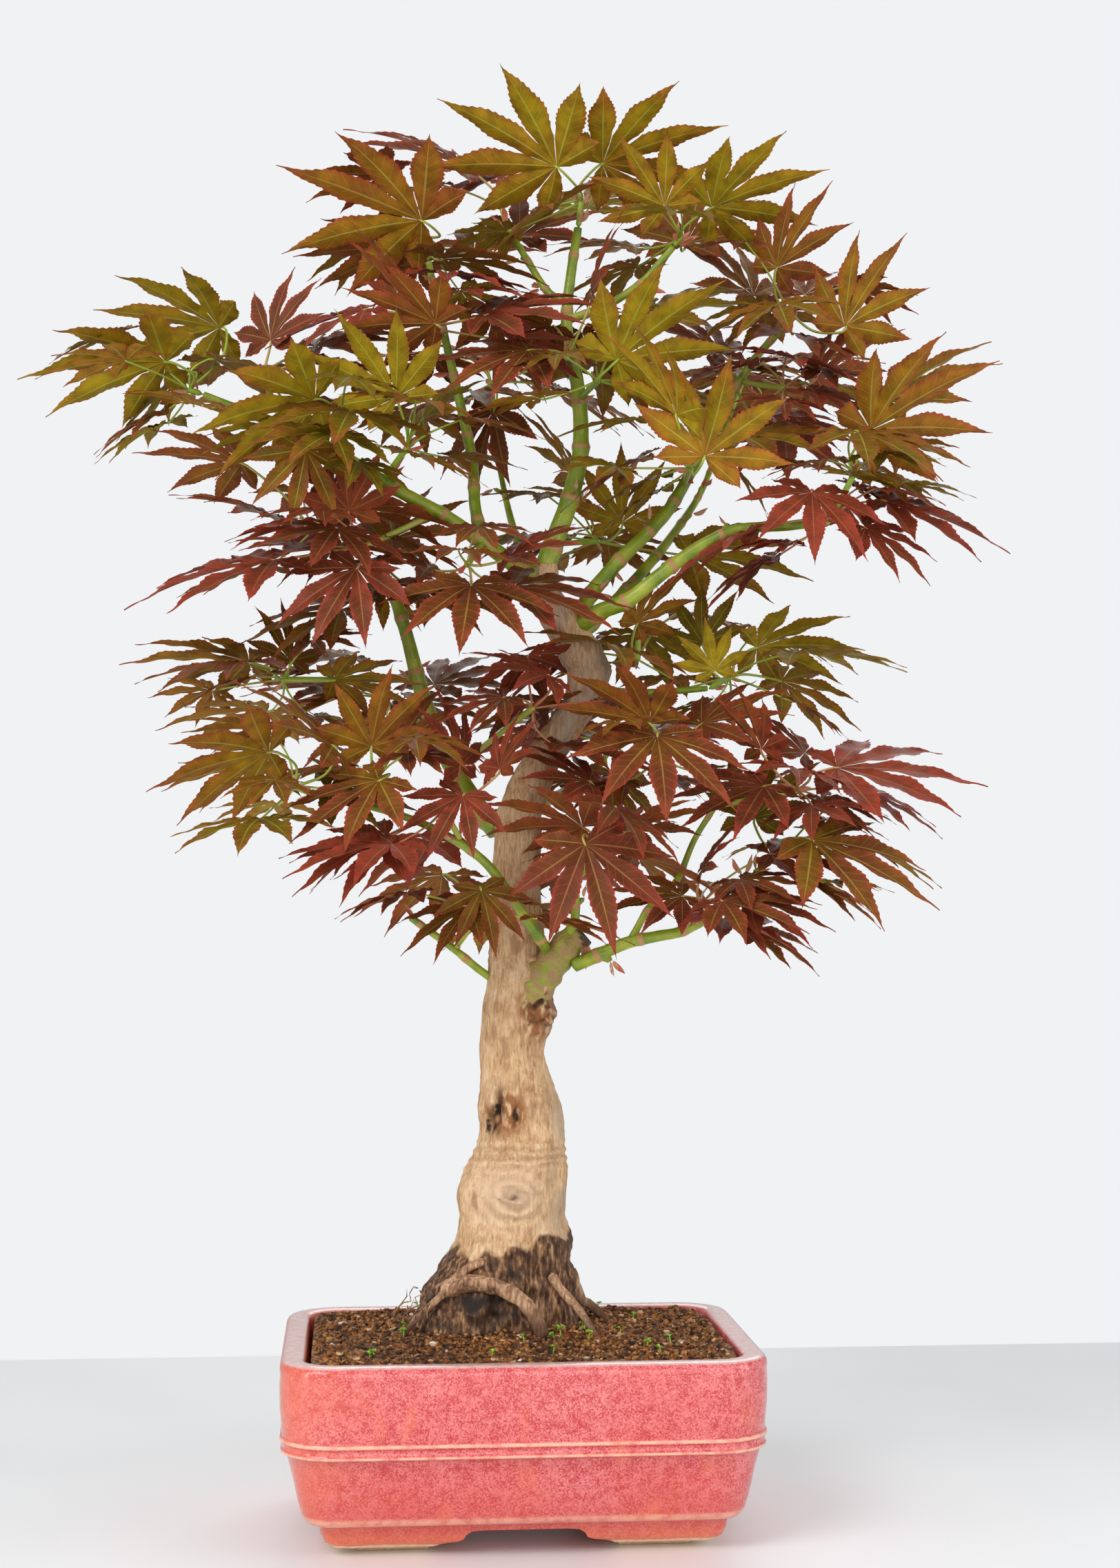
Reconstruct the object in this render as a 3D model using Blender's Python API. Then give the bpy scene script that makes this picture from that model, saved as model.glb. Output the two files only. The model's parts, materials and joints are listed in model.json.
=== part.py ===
"""A Japanese maple bonsai in a glazed rectangular pot.

Metres, +Z up. The pot stands on the plane z = 0 with its long side along X and
its front towards -Y. Each woody or green stem is a node of its own, and so is
each shoot with the leaves that it carries.
"""

import math

import bmesh
import bpy
from mathutils import Matrix, Vector, noise
from mathutils.bvhtree import BVHTree

CM = 0.01

# Pot
POT_WIDTH = 0.220
POT_DEPTH = 0.165
POT_HEIGHT = 0.087
POT_CORNER = 0.026
RIM_WIDTH = 0.012
WALL = 0.009
FLOOR = 0.008
FOOT_HEIGHT = 0.0125
FOOT_INSET = 0.032
FOOT_THICKNESS = 0.011
FEET_GAP_FRONT = 0.050
FEET_GAP_SIDE = 0.036
FEET_GAP_FLARE = 0.020
BAND_HEIGHT = 0.050
TAPER = 0.009
DRAIN_RADIUS = 0.0075
DRAIN_SPACING = 0.100

# Drainage screens
SCREEN_SIZE = 0.030
SCREEN_THICKNESS = 0.0014
SCREEN_BAR = 0.0016
SCREEN_HOLES = 3

# Soil
SOIL_BELOW_RIM = 0.005
MOUND_HEIGHT = 0.016
MOUND_REACH_X = 0.0792
MOUND_REACH_Y = 0.066
GAP = 0.0003
CLEARANCE = 0.0001

# Tree
TREE_SPREAD = 1.0
TREE_HEIGHT = 1.0
TRUNK_THICKNESS = 1.0
STEM_THICKNESS = 1.0
LEAF_SIZE = 1.0
LEAF_THICKNESS = 0.0014
PETIOLE_RADIUS = 0.0007
SHOOT_RADIUS = 0.0014
# The heights in the tables below are from the table top, for a rim at this one.
PLANTED_AT = 8.7

# The crown is set out on a front elevation seen from this distance and height,
# so a leaf that is set further back is spread out in proportion.
VIEW_DISTANCE = 1.15
VIEW_HEIGHT = 0.293

LOBE_ANGLES = (-112, -70, -34, 0, 34, 70, 112)
LOBE_LENGTHS = (0.42, 0.76, 0.93, 1.0, 0.93, 0.76, 0.42)
NOTCH_RADIUS = 0.26
LEAF_DROOP = 0.16

# Centre x, y, z and half-width, half-depth of the trunk in centimetres.
TRUNK = (
    (-1.0, 0.0, 7.4, 2.8, 2.2),
    (-1.1, 0.0, 9.0, 4.3, 3.2),
    (-1.0, 0.0, 10.2, 3.9, 2.9),
    (-0.8, 0.0, 11.3, 3.5, 2.7),
    (-0.6, 0.0, 12.2, 3.1, 2.5),
    (-0.2, 0.0, 13.1, 2.8, 2.35),
    (-0.3, 0.0, 14.2, 2.5, 2.2),
    (-0.3, 0.0, 15.3, 2.6, 2.25),
    (-0.1, 0.0, 16.3, 2.5, 2.15),
    (0.2, 0.0, 17.3, 2.15, 1.95),
    (0.3, 0.1, 18.4, 2.05, 1.85),
    (0.1, 0.1, 19.5, 2.0, 1.75),
    (-0.1, 0.1, 20.6, 1.7, 1.65),
    (-0.2, 0.1, 22.0, 1.55, 1.6),
    (0.0, 0.1, 23.6, 1.65, 1.6),
    (0.1, 0.1, 25.0, 1.6, 1.5),
    (0.0, 0.2, 26.6, 1.35, 1.35),
    (0.0, 0.3, 28.4, 1.25, 1.25),
    (0.0, 0.5, 30.8, 1.15, 1.15),
    (0.1, 0.7, 33.3, 1.1, 1.1),
    (0.9, 0.8, 35.3, 1.05, 1.05),
    (2.1, 0.7, 37.2, 1.0, 1.0),
    (3.2, 0.5, 38.9, 1.0, 1.0),
    (3.5, 0.3, 40.1, 1.05, 1.0),
    (2.9, 0.2, 41.4, 1.2, 1.05),
    (1.9, 0.1, 42.8, 1.0, 0.9),
    (1.4, 0.0, 44.1, 0.7, 0.65),
    (1.4, 0.0, 45.3, 0.5, 0.5),
)
TRUNK_SIDES = 14
# The cut-back side limb on the right of the trunk.
STUB = ((0.6, -0.5, 24.9), (1.5, -0.9, 26.0), (2.3, -1.1, 27.0), (3.1, -1.2, 27.7))
STUB_RADII = (1.0, 0.85, 0.75, 0.62)

# Green stems: the piece each grows from, its radius at both ends, and its route.
STEMS = {
    "leader": ("trunk", 0.50, 0.20, (
        (1.4, 0, 45.3), (1.8, 0, 46.4), (2.5, 0, 48.3), (3.0, 0, 50.3), (3.05, 0, 52.5),
        (2.8, 0, 54.6), (2.4, 0.2, 56.8), (2.6, 0.3, 59.3), (3.0, 0.4, 61.9))),
    "leader_left": ("leader", 0.20, 0.15, (
        (2.5, 0.3, 58.0), (1.5, 1.0, 58.8), (0.6, 1.3, 60.3), (-0.4, 1.5, 62.0))),
    "leader_right": ("leader", 0.22, 0.16, (
        (2.5, 0.2, 57.2), (4.2, 0.0, 57.8), (5.9, -0.2, 58.9), (7.6, -0.5, 60.8))),
    "left_limb": ("trunk", 0.42, 0.16, (
        (1.4, 0, 44.6), (0.3, 0.3, 45.0), (-1.6, 0.2, 46.3), (-3.7, -0.2, 47.6),
        (-5.9, -0.7, 48.7), (-8.2, -1.1, 50.1), (-10.3, -1.5, 51.2), (-12.8, -1.9, 52.0),
        (-15.0, -2.1, 52.8))),
    "left_upright": ("left_limb", 0.30, 0.16, (
        (-1.7, 0.2, 46.4), (-2.0, 0.8, 48.2), (-2.1, 1.4, 50.4), (-2.6, 1.8, 53.0),
        (-3.2, 1.8, 55.6), (-3.8, 1.4, 58.0), (-4.3, 0.8, 60.2))),
    "right_limb_low": ("trunk", 0.42, 0.18, (
        (2.6, 0, 42.0), (3.9, -0.7, 42.9), (5.2, -1.2, 43.4), (6.6, -1.6, 44.5),
        (8.4, -2.0, 45.8), (10.4, -2.4, 46.7), (12.6, -2.8, 46.8), (14.6, -3.2, 47.0))),
    "right_limb_mid": ("trunk", 0.40, 0.17, (
        (2.7, 0.2, 42.2), (3.6, 0.9, 43.9), (5.3, 1.2, 45.9), (7.2, 1.3, 47.8),
        (8.4, 1.2, 49.7), (9.7, 0.8, 52.3), (11.4, 0.3, 55.2), (13.0, 0.0, 57.0))),
    "right_limb_back": ("trunk", 0.34, 0.16, (
        (2.8, 0.4, 41.6), (4.8, 2.0, 43.6), (6.8, 3.4, 45.8), (8.4, 5.0, 47.8),
        (10.0, 7.2, 50.2), (11.2, 9.2, 53.0))),
    "rear_limb": ("trunk", 0.34, 0.17, (
        (2.6, 0.4, 41.8), (1.8, 2.6, 43.2), (0.9, 5.2, 45.6), (0.2, 7.8, 48.6),
        (-0.4, 9.8, 52.2))),
    "left_back_stem": ("trunk", 0.52, 0.28, (
        (0.1, 0.6, 31.4), (-1.6, 2.0, 33.4), (-3.3, 2.7, 36.2), (-4.4, 2.9, 39.0),
        (-5.2, 2.9, 42.0), (-6.0, 2.9, 44.5))),
    "low_left_branch": ("trunk", 0.26, 0.14, (
        (1.6, -0.9, 26.4), (0.8, -2.3, 27.5), (-0.4, -2.7, 29.2), (-1.8, -2.9, 31.0),
        (-4.2, -3.1, 32.5), (-6.8, -3.2, 33.4), (-9.6, -3.3, 34.0))),
    "low_left_stub": ("trunk", 0.19, 0.16, (
        (0.0, 0.3, 24.6), (-1.9, -0.2, 25.9), (-3.0, -0.4, 26.8), (-5.2, -0.6, 28.4))),
    "low_right_branch": ("trunk", 0.34, 0.17, (
        (1.8, -0.9, 25.7), (3.4, -1.5, 26.4), (5.3, -1.9, 27.2), (7.7, -2.1, 27.7),
        (9.4, -2.3, 28.6), (11.0, -2.6, 30.4))),
    "low_right_twig": ("low_right_branch", 0.18, 0.13, (
        (5.2, -1.9, 27.2), (6.1, -1.6, 28.7), (7.6, -1.2, 30.2), (8.4, -1.0, 32.0),
        (9.4, -1.0, 33.6))),
    "low_centre_twig": ("trunk", 0.26, 0.15, (
        (2.2, -1.1, 26.8), (2.6, -2.0, 28.3), (2.6, -2.6, 30.0))),
    "low_rear_branch": ("trunk", 0.32, 0.16, (
        (0.1, 0.7, 32.4), (1.2, 3.2, 33.6), (2.8, 6.0, 34.6), (4.6, 8.6, 35.6))),
    "right_mid_twig": ("trunk", 0.22, 0.14, (
        (3.4, 0.4, 39.6), (5.4, 1.4, 39.2), (7.4, 1.7, 39.3), (9.6, 1.8, 39.5))),
}

# Each shoot: its stem and how far along it (0 to 1), the knot where its leaf
# stalks start, then its leaves: x, z and depth of the blade's base, the turn of
# the middle lobe in the elevation (0 right, 90 up), how far that lobe leans to
# the front, how far the upper face is turned to the front, and its length.
SHOOTS = {
    "shoot_top": ("leader", 1.0, (3.1, 62.9, 0.4), (
        (1.8, 64.6, -1.2, 150, 12, -36, 6.6),
        (4.1, 64.8, -0.6, 22, 10, -36, 6.3),
        (3.6, 62.6, 3.0, 70, -45, 0, 4.8))),
    "shoot_top_right": ("leader_right", 1.0, (7.9, 61.3, -0.6), (
        (7.0, 62.8, -2.2, 128, 22, -35, 4.4),
        (9.4, 62.8, -1.4, 22, 8, -36, 5.8),
        (8.3, 61.0, 1.6, 75, -25, 10, 5.2),
        (5.6, 60.8, 1.4, 165, -15, 20, 4.8))),
    "shoot_top_left": ("leader_left", 1.0, (-0.6, 62.5, 2.2), (
        (-2.3, 64.5, 3.4, 152, -6, 24, 6.6),
        (-0.7, 64.2, 5.4, 176, -28, 28, 6.2),
        (0.6, 61.2, 7.0, 55, -25, 24, 5.0))),
    "shoot_upper_left": ("left_upright", 1.0, (-4.4, 61.0, 0.6), (
        (-4.8, 61.8, -2.4, 160, 12, -34, 7.2),
        (-5.4, 60.4, 2.0, 178, 0, -24, 5.4),
        (-1.8, 60.4, 4.6, 60, -40, 10, 4.6))),
    "shoot_left_crown": ("left_upright", 0.72, (-4.4, 56.6, -1.0), (
        (-5.5, 57.7, -2.6, 118, 25, 28, 4.6),
        (-4.3, 56.8, -5.0, 158, 15, -29, 4.8),
        (-7.4, 57.4, -0.6, 196, 5, 20, 5.2),
        (-1.8, 57.3, -4.4, 12, 8, 28, 6.0))),
    "shoot_crown_front": ("leader", 0.62, (2.2, 55.3, -2.6), (
        (0.2, 55.6, -4.6, 200, 25, 28, 5.2),
        (3.4, 58.4, -3.0, 80, 4, 24, 4.0))),
    "shoot_far_left": ("left_limb", 1.0, (-15.8, 53.4, -2.2), (
        (-17.0, 54.7, -3.2, 180, 10, -24, 6.7),
        (-16.2, 54.2, 0.8, 205, -22, 20, 5.0),
        (-14.2, 56.4, 1.0, 166, -6, -29, 6.2))),
    "shoot_left_mid": ("left_limb", 0.78, (-12.3, 54.2, -1.2), (
        (-12.0, 55.9, 0.2, 88, -10, -29, 4.2),
        (-9.6, 55.6, 1.4, 20, -12, 20, 5.2),
        (-13.2, 54.6, 2.0, 170, -30, 10, 4.8))),
    "shoot_left_front": ("left_limb", 0.62, (-8.6, 51.3, -2.6), (
        (-10.0, 53.0, -4.4, 192, 18, -41, 6.3),
        (-10.4, 50.6, -4.0, 262, 20, 24, 4.0))),
    "shoot_left_inner": ("left_limb", 0.5, (-5.4, 50.8, -1.6), (
        (-6.1, 53.2, -3.4, 122, 20, -37, 5.0),
        (-7.2, 53.6, 2.0, 135, -20, 10, 4.4),
        (-4.6, 52.2, -1.2, 50, 0, 20, 4.0))),
    "shoot_crown_olive": ("leader", 0.44, (3.7, 54.2, -3.0), (
        (4.5, 55.2, -4.6, 40, 16, -38, 6.2),
        (6.2, 57.4, -1.2, 25, -4, 24, 6.0),
        (7.0, 54.4, -1.6, 355, 2, 24, 5.2))),
    "shoot_right_front": ("right_limb_mid", 0.52, (8.2, 50.0, -3.0), (
        (8.6, 50.6, -6.8, 75, 32, -34, 5.4),
        (7.0, 52.4, -7.6, 120, 30, 26, 5.6),
        (10.2, 52.3, -3.4, 25, 10, 28, 5.2))),
    "shoot_right_far": ("right_limb_low", 1.0, (16.2, 49.9, -3.4), (
        (17.0, 52.0, -4.0, 35, 12, -37, 6.6),
        (18.0, 53.4, -0.8, 42, -6, 24, 6.2),
        (17.2, 50.3, -1.6, 4, -4, 28, 5.0),
        (14.4, 50.2, 0.6, 165, -20, 10, 4.6))),
    "shoot_right_upper": ("right_limb_mid", 1.0, (13.2, 57.8, -0.2), (
        (12.6, 59.9, -1.2, 62, 12, -23, 4.8),
        (15.9, 57.1, -1.8, 62, 12, -35, 5.2),
        (11.6, 58.5, 1.6, 120, -15, 20, 5.2),
        (14.2, 58.6, 2.4, 50, -40, 10, 4.8))),
    "shoot_right_inner": ("right_limb_mid", 0.8, (12.9, 54.0, -1.0), (
        (14.7, 54.5, 2.0, 40, -4, -29, 5.2),
        (12.4, 52.6, -0.4, 352, 8, 28, 4.6),
        (10.2, 55.6, 4.0, 130, -20, 20, 4.8))),
    "shoot_right_red": ("right_limb_low", 0.93, (14.9, 47.5, -3.6), (
        (13.9, 48.9, -6.2, 258, 48, 12, 5.0),
        (17.6, 48.8, -3.2, 352, 6, 24, 6.2),
        (16.6, 47.2, -5.0, 325, 24, 23, 4.2))),
    "shoot_left_dark": ("left_limb", 0.34, (-7.4, 46.0, -1.6), (
        (-11.8, 45.3, -2.8, 190, 4, 18, 7.2),
        (-8.2, 45.0, -5.2, 232, 30, 30, 4.8),
        (-8.4, 47.6, -2.6, 102, 20, -24, 3.8))),
    "shoot_left_narrow": ("left_limb", 0.56, (-9.9, 46.7, -1.4), (
        (-11.7, 47.4, -0.6, 158, -6, 8, 5.0),
        (-13.2, 49.9, 0.2, 168, -4, -24, 5.0),
        (-8.8, 48.6, 1.0, 100, -20, -20, 4.4))),
    "shoot_centre_brown": ("left_limb", 0.2, (-2.6, 45.2, -3.0), (
        (-2.6, 44.2, -5.4, 262, 56, 4, 5.6),
        (-4.4, 45.0, -1.4, 160, 20, 24, 4.4),
        (-0.6, 45.6, -3.4, 28, 10, 24, 4.4))),
    "shoot_centre_red": ("left_back_stem", 0.28, (0.6, 38.3, -2.0), (
        (1.2, 39.9, -3.4, 168, 34, 30, 4.2),
        (-0.9, 38.8, -3.4, 195, 14, 24, 3.6))),
    "shoot_low_front": ("low_centre_twig", 1.0, (3.6, 31.4, -4.2), (
        (2.8, 31.8, -6.6, 286, 26, 26, 5.6),
        (2.9, 32.6, -3.4, 158, 12, -23, 5.2),
        (5.0, 32.4, -3.0, 20, 5, -20, 4.6),
        (2.4, 34.6, -2.2, 165, 8, 28, 4.2))),
    "shoot_mid_front": ("right_mid_twig", 0.3, (6.6, 36.0, -2.4), (
        (6.3, 37.0, -6.4, 266, 52, 2, 5.9),
        (6.1, 37.6, -4.0, 146, 16, -26, 5.2),
        (8.8, 37.6, -1.6, 30, 0, 28, 4.8),
        (5.2, 34.8, -0.6, 200, -4, 24, 3.4))),
    "shoot_low_right_red": ("low_right_twig", 1.0, (13.4, 34.4, -2.2), (
        (15.3, 35.5, -3.0, 2, 8, 27, 7.0),
        (13.9, 36.2, 0.2, 140, -6, 20, 4.8),
        (11.6, 34.6, -4.6, 196, 26, 23, 5.2),
        (11.8, 36.6, -3.2, 104, 18, 24, 3.8))),
    "shoot_low_right_olive": ("low_right_branch", 1.0, (12.6, 31.4, -3.0), (
        (13.9, 32.0, -5.2, 336, 20, 29, 6.4),
        (11.4, 33.2, -0.8, 70, -15, 24, 4.6))),
    "shoot_low_right_small": ("low_right_branch", 0.62, (8.6, 28.9, -3.0), (
        (7.6, 29.3, -4.8, 184, 16, 30, 4.0),
        (10.6, 29.2, -4.8, 350, 14, 23, 4.6),
        (8.6, 30.6, -4.6, 60, 14, 23, 3.2))),
    "shoot_low_left": ("low_left_branch", 1.0, (-10.8, 34.5, -3.4), (
        (-12.1, 36.1, -4.6, 190, 14, -38, 6.0),
        (-10.0, 36.7, -5.4, 152, 14, 27, 5.6),
        (-9.0, 35.2, 0.6, 340, -12, 20, 5.0))),
    "shoot_low_left_inner": ("low_left_branch", 0.72, (-6.9, 34.9, -3.2), (
        (-7.6, 36.3, -4.0, 98, 22, -37, 4.4),
        (-7.0, 34.8, -5.8, 208, 20, 24, 5.2),
        (-5.8, 36.4, -0.6, 60, -10, 24, 4.0))),
    "shoot_low_centre_red": ("low_left_branch", 0.52, (-3.8, 33.4, -4.2), (
        (-3.0, 34.1, -5.6, 236, 34, 26, 3.8),
        (-1.2, 35.4, -5.4, 78, 24, 27, 3.2),
        (-3.6, 35.6, -2.2, 110, 0, 30, 4.0))),
    "shoot_low_centre_dark": ("low_left_stub", 0.5, (-1.9, 28.4, -1.6), (
        (-2.4, 28.9, -2.8, 205, 14, 23, 4.2),
        (-1.8, 29.6, -3.6, 262, 24, 23, 3.4))),
    "shoot_left_slim": ("left_back_stem", 0.62, (-11.0, 39.6, 2.6), (
        (-12.6, 40.4, 2.2, 172, -4, -14, 6.4),
        (-10.6, 40.5, 3.4, 92, -8, -24, 3.4),
        (-8.6, 39.6, 1.4, 4, 6, -24, 4.6))),
    "shoot_left_back": ("left_back_stem", 1.0, (-6.2, 45.2, 3.4), (
        (-5.6, 46.4, 5.2, 60, -30, 10, 5.0),
        (-8.0, 42.8, 2.0, 200, 6, 24, 5.4),
        (-4.2, 43.8, 1.6, 350, 18, 28, 4.6),
        (-8.0, 45.8, 5.6, 160, -30, 10, 5.2))),
    "shoot_right_slim": ("right_mid_twig", 1.0, (10.4, 39.9, 1.9), (
        (11.7, 41.3, 1.2, 8, 2, -30, 5.4),
        (9.2, 41.5, 3.2, 90, -8, -24, 3.4),
        (9.5, 40.2, -0.4, 105, 14, -29, 2.8),
        (12.8, 40.2, 3.0, 348, -5, -20, 4.8))),
    "shoot_right_dark": ("right_limb_back", 0.3, (6.0, 40.7, 3.2), (
        (6.3, 42.4, 2.2, 40, 8, -30, 4.0),
        (8.6, 43.0, 7.2, 350, -25, 10, 5.0))),
    "shoot_back_mid": ("rear_limb", 0.55, (4.2, 46.4, 5.8), (
        (5.4, 47.3, 5.4, 88, 5, -31, 4.2),
        (8.6, 45.8, 4.6, 358, -4, -19, 6.6),
        (2.4, 45.6, 7.8, 200, -30, 10, 5.6),
        (3.2, 49.4, 6.6, 120, -10, -20, 4.8))),
    "shoot_rear_top": ("rear_limb", 1.0, (-0.6, 54.0, 10.6), (
        (-2.4, 55.2, 11.6, 170, -20, 10, 6.2),
        (1.6, 55.4, 11.8, 20, -30, 10, 6.2),
        (-0.4, 52.6, 8.2, 250, 10, 24, 5.0),
        (-0.4, 55.0, 13.2, 100, -70, 0, 6.0))),
    "shoot_rear_right": ("right_limb_back", 1.0, (11.6, 54.4, 10.0), (
        (13.2, 55.4, 11.2, 15, -25, 10, 6.4),
        (10.2, 56.0, 10.6, 150, -10, 10, 6.0),
        (12.2, 52.6, 7.8, 340, 0, 24, 5.6),
        (11.6, 54.8, 13.0, 60, -68, 0, 6.0))),
    "shoot_rear_low": ("low_rear_branch", 1.0, (5.2, 36.6, 9.6), (
        (7.2, 37.4, 10.6, 10, -20, 10, 6.2),
        (3.0, 37.6, 10.4, 170, -25, 10, 6.2),
        (5.0, 35.2, 8.0, 300, 10, 24, 5.0),
        (5.4, 37.0, 12.6, 60, -68, 0, 6.0))),
    "shoot_rear_left": ("left_back_stem", 0.42, (-5.6, 38.4, 6.8), (
        (-7.6, 39.2, 8.4, 170, -20, 10, 6.0),
        (-3.4, 39.4, 9.0, 40, -40, 10, 5.6),
        (-6.0, 37.6, 9.8, 230, -60, 0, 5.8))),
}


def clear_scene():
    for old in list(bpy.data.objects):
        bpy.data.objects.remove(old, do_unlink=True)


def new_collection(name):
    made = bpy.data.collections.new(name)
    bpy.context.scene.collection.children.link(made)
    return made


def material(name, colour, roughness, metallic=0.0):
    made = bpy.data.materials.get(name)
    if made is None:
        made = bpy.data.materials.new(name)
        made.use_nodes = True
        shader = made.node_tree.nodes["Principled BSDF"]
        shader.inputs["Base Color"].default_value = (*colour, 1.0)
        shader.inputs["Roughness"].default_value = roughness
        shader.inputs["Metallic"].default_value = metallic
    return made


def add_object(name, mesh, finish, collection):
    made = bpy.data.objects.new(name, mesh)
    made.data.materials.clear()
    made.data.materials.append(finish)
    collection.objects.link(made)
    return made


def mesh_from(name, bm):
    bmesh.ops.recalc_face_normals(bm, faces=bm.faces)
    bmesh.ops.triangulate(bm, faces=bm.faces)
    mesh = bpy.data.meshes.new(name)
    bm.to_mesh(mesh)
    bm.free()
    return mesh


def loft(name, rings):
    """A closed skin through rings of equally many points, capped at both ends."""
    bm = bmesh.new()
    loops = [[bm.verts.new(point) for point in ring] for ring in rings]
    sides = len(loops[0])
    for lower, upper in zip(loops, loops[1:]):
        for i in range(sides):
            j = (i + 1) % sides
            bm.faces.new((lower[i], lower[j], upper[j], upper[i]))
    bm.faces.new(list(reversed(loops[0])))
    bm.faces.new(loops[-1])
    return mesh_from(name, bm)


def cut(target, cutter, operation="DIFFERENCE"):
    """Boolean with a wire-drawn helper, baked at once."""
    cutter.hide_render = True
    cutter.display_type = "WIRE"
    boolean = target.modifiers.new(operation.title(), "BOOLEAN")
    boolean.operation = operation
    boolean.solver = "EXACT"
    boolean.use_self = operation == "UNION"
    boolean.object = cutter
    bpy.context.view_layer.update()
    depsgraph = bpy.context.evaluated_depsgraph_get()
    result = bpy.data.meshes.new_from_object(target.evaluated_get(depsgraph))
    target.modifiers.remove(boolean)
    target.data = result


def tree_of(*objects):
    """Search tree over the finished surfaces of some objects."""
    verts, faces = [], []
    for item in objects:
        start = len(verts)
        verts += [item.matrix_world @ v.co for v in item.data.vertices]
        faces += [[start + i for i in p.vertices] for p in item.data.polygons]
    return BVHTree.FromPolygons(verts, faces)


# ---------------------------------------------------------------- pot


def rounded_rectangle(inset, z, width, depth, corner, steps=5):
    """Points of a rounded rectangle, set in from the pot's outline."""
    radius = max(corner - inset, 0.004)
    half_x = width / 2 - inset - radius
    half_y = depth / 2 - inset - radius
    points = []
    for quarter, (sx, sy) in enumerate(((1, 1), (-1, 1), (-1, -1), (1, -1))):
        for step in range(steps):
            angle = math.radians(90 * (quarter + step / (steps - 1)))
            x = sx * half_x + radius * math.cos(angle)
            y = sy * half_y + radius * math.sin(angle)
            points.append(Vector((x, y, z)))
    return points


def wall_inset(z):
    """How far the inner face of the wall stands in from the outline at a height."""
    rise = (z - FOOT_HEIGHT - FLOOR) / (POT_HEIGHT - FOOT_HEIGHT - FLOOR)
    return RIM_WIDTH + (WALL + TAPER - RIM_WIDTH) * (1 - rise) ** 0.8


def pot_profile():
    """Inset and height of each ring, from the underside round to the floor."""
    inner_foot = FOOT_INSET + FOOT_THICKNESS
    floor = FOOT_HEIGHT + FLOOR
    profile = [
        (inner_foot, FOOT_HEIGHT),
        (inner_foot, 0.0),
        (FOOT_INSET, 0.0),
        (FOOT_INSET - 0.008, 0.0035),
        (FOOT_INSET - 0.013, 0.0085),
        (FOOT_INSET - 0.0145, FOOT_HEIGHT + 0.001),
        (TAPER + 0.005, FOOT_HEIGHT + 0.0025),
        (TAPER + 0.0012, FOOT_HEIGHT + 0.0065),
        (TAPER, FOOT_HEIGHT + 0.0105),
        (0.0030, BAND_HEIGHT - 0.0035),
        (0.0012, BAND_HEIGHT - 0.0020),
        (0.0006, BAND_HEIGHT + 0.0030),
        (0.0010, BAND_HEIGHT + 0.0045),
        (0.0, BAND_HEIGHT + 0.012),
        (0.0003, POT_HEIGHT - 0.006),
        (0.0012, POT_HEIGHT - 0.0018),
        (0.0035, POT_HEIGHT),
        (RIM_WIDTH - 0.003, POT_HEIGHT),
        (RIM_WIDTH - 0.0006, POT_HEIGHT - 0.0015),
    ]
    inner_top = POT_HEIGHT - 0.005
    for step in range(4):
        z = inner_top + (floor + 0.006 - inner_top) * step / 3
        profile.append((wall_inset(z), z))
    profile.append((wall_inset(floor) + 0.004, floor))
    return profile


def feet_gap_cutter(name, width, along_x, helpers):
    """A channel with stepped cloud-shaped ends between two feet."""
    half = width / 2
    top = FOOT_HEIGHT - 0.001
    outline = [
        (half, top), (half + 0.004, top * 0.55), (half + FEET_GAP_FLARE * 0.6, top * 0.45),
        (half + FEET_GAP_FLARE, -0.002),
    ]
    outline += [(-x, z) for x, z in reversed(outline)]
    length = max(POT_WIDTH, POT_DEPTH)
    rings = []
    for end in (-length, length):
        if along_x:
            rings.append([Vector((end, x, z)) for x, z in outline])
        else:
            rings.append([Vector((x, end, z)) for x, z in outline])
    return add_object(name, loft(name, rings), material("helper", (1, 1, 1), 1), helpers)


def make_pot(parts, helpers):
    rings = [rounded_rectangle(inset, z, POT_WIDTH, POT_DEPTH, POT_CORNER)
             for inset, z in pot_profile()]
    glaze = material("glaze", (0.78, 0.16, 0.17), 0.25)
    pot = add_object("pot", loft("pot", rings), glaze, parts)
    cut(pot, feet_gap_cutter("gap_front", FEET_GAP_FRONT, False, helpers))
    cut(pot, feet_gap_cutter("gap_side", FEET_GAP_SIDE, True, helpers))
    for side in (-1, 1):
        bpy.ops.mesh.primitive_cylinder_add(
            vertices=16, radius=DRAIN_RADIUS, depth=4 * FLOOR,
            location=(side * DRAIN_SPACING / 2, 0, FOOT_HEIGHT + FLOOR / 2))
        drill = bpy.context.object
        drill.name = "drill"
        move_to(drill, helpers)
        cut(pot, drill)
    pot.data.shade_smooth()
    pot.data.set_sharp_from_angle(angle=math.radians(35))
    return pot


def move_to(item, collection):
    for holder in list(item.users_collection):
        holder.objects.unlink(item)
    collection.objects.link(item)


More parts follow.
